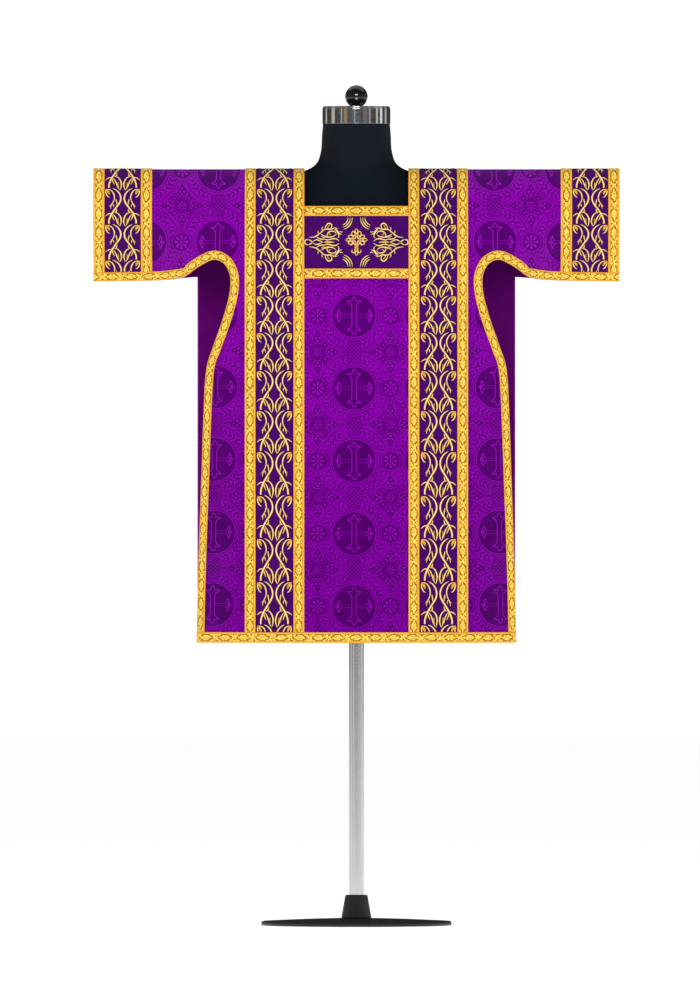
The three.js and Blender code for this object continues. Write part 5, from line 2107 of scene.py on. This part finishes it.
@dataclass(frozen=True)
class Studio:
    """Pale floor, soft light and the camera. The camera looks straight at the front from far off."""

    distance: float = 40.0
    target: tuple[float, float, float] = (-0.0128, 0.0, 0.860)
    frame_height: float = 1.98
    sensor: float = 36.0
    surround: float = 1.06
    reflected: float = 0.05
    strip_reach: float = 6.0
    strip_height: float = 3.4
    strip_z: float = 1.7
    aim_z: float = 1.2

    def camera(self) -> None:
        """Puts the camera in front, with the lens that shows the frame's height at the form."""
        data = bpy.data.cameras.new("camera")
        data.sensor_width = self.sensor
        data.lens = self.sensor * self.distance / self.frame_height
        data.clip_end = 100
        camera = bpy.data.objects.new("camera", data)
        x, y, z = self.target
        camera.location = (x, y - self.distance, z)
        camera.rotation_euler = (math.radians(90), 0, 0)
        bpy.context.scene.collection.objects.link(camera)
        bpy.context.scene.camera = camera

    def floor(self) -> None:
        """A wide pale floor."""
        mesh = bpy.data.meshes.new("floor")
        reach = 30.0
        corners = [(-reach, -reach, 0), (reach, -reach, 0), (reach, reach, 0), (-reach, reach, 0)]
        mesh.from_pydata(corners, [], [(0, 1, 2, 3)])
        floor = bpy.data.objects.new("floor", mesh)
        bpy.context.scene.collection.objects.link(floor)
        pale = (0.97, 0.97, 0.97, 1.0)
        finish = Finish("pale_floor")
        mesh.materials.append(finish.set(Base_Color=pale, Roughness=0.9, Specular_IOR_Level=0.1))

    def light(self) -> None:
        """A bright even surround that is dimmer in reflections, two wide soft lamps from the front,
        and tall lamps all round that show as streaks in the chrome."""
        world = bpy.data.worlds.new("studio")
        bpy.context.scene.world = world
        world.use_nodes = True
        tree = world.node_tree
        background = tree.nodes["Background"]
        background.inputs["Color"].default_value = (1, 1, 1, 1)
        path = tree.nodes.new("ShaderNodeLightPath")
        mirrored = Field(tree, path.outputs["Is Glossy Ray"])
        strength = mirrored * (self.reflected - self.surround) + self.surround
        tree.links.new(strength.socket, background.inputs["Strength"])
        for lamp in SOFT_LAMPS:
            self.lamp(lamp, mirrored=False)
        for number, strip in enumerate(STRIPS):
            turn = math.radians(strip.bearing)
            place = (self.strip_reach * math.sin(turn), -self.strip_reach * math.cos(turn), self.strip_z)
            power = strip.power * strip.width * self.strip_height
            size = (strip.width, self.strip_height)
            self.lamp(Lamp(f"strip_{number}", place, power, size, strip.colour), mirrored=True)

    def lamp(self, lamp: Lamp, mirrored: bool) -> Piece:
        """Puts up a lamp that faces the garment. It isn't seen itself, and only shows in reflections
        where it is said to."""
        data = bpy.data.lights.new(lamp.name, "AREA")
        data.shape = "RECTANGLE"
        data.energy = lamp.power
        data.size, data.size_y = lamp.size
        data.color = lamp.colour
        light = bpy.data.objects.new(lamp.name, data)
        light.location = lamp.place
        x, y, z = np.array([0, 0, self.aim_z]) - np.array(lamp.place)
        light.rotation_euler = (math.atan2(math.hypot(x, y), -z), 0, math.atan2(-x, y))
        light.visible_camera = False
        light.visible_glossy = mirrored
        bpy.context.scene.collection.objects.link(light)
        return light

    def glint(self, polished: Sequence[Piece]) -> None:
        """Lamps that light nothing but the polished pieces of the head, as small highlights."""
        receivers = bpy.data.collections.new("polished")
        for piece in polished:
            receivers.objects.link(piece)
        for lamp in GLINTS:
            self.lamp(lamp, mirrored=True).light_linking.receiver_collection = receivers

    def build(self) -> None:
        """Sets the studio up, with colours shown as they are."""
        self.camera()
        self.floor()
        self.light()
        bpy.context.scene.view_settings.view_transform = "Standard"


def main() -> None:
    """Builds the studio, the form, the cloth of both sides and its embroidery."""
    logging.basicConfig(level=logging.INFO, format="%(name)s %(message)s")
    studio = Studio()
    studio.build()
    wardrobe = Wardrobe()
    form = DressForm(wardrobe)
    form.build()
    studio.glint(form.polished)
    for side in Side:
        cloth = SideCloth(side, wardrobe)
        cloth.build()
        BandEmbroidery(cloth).build()


if __name__ == "__main__":
    main()
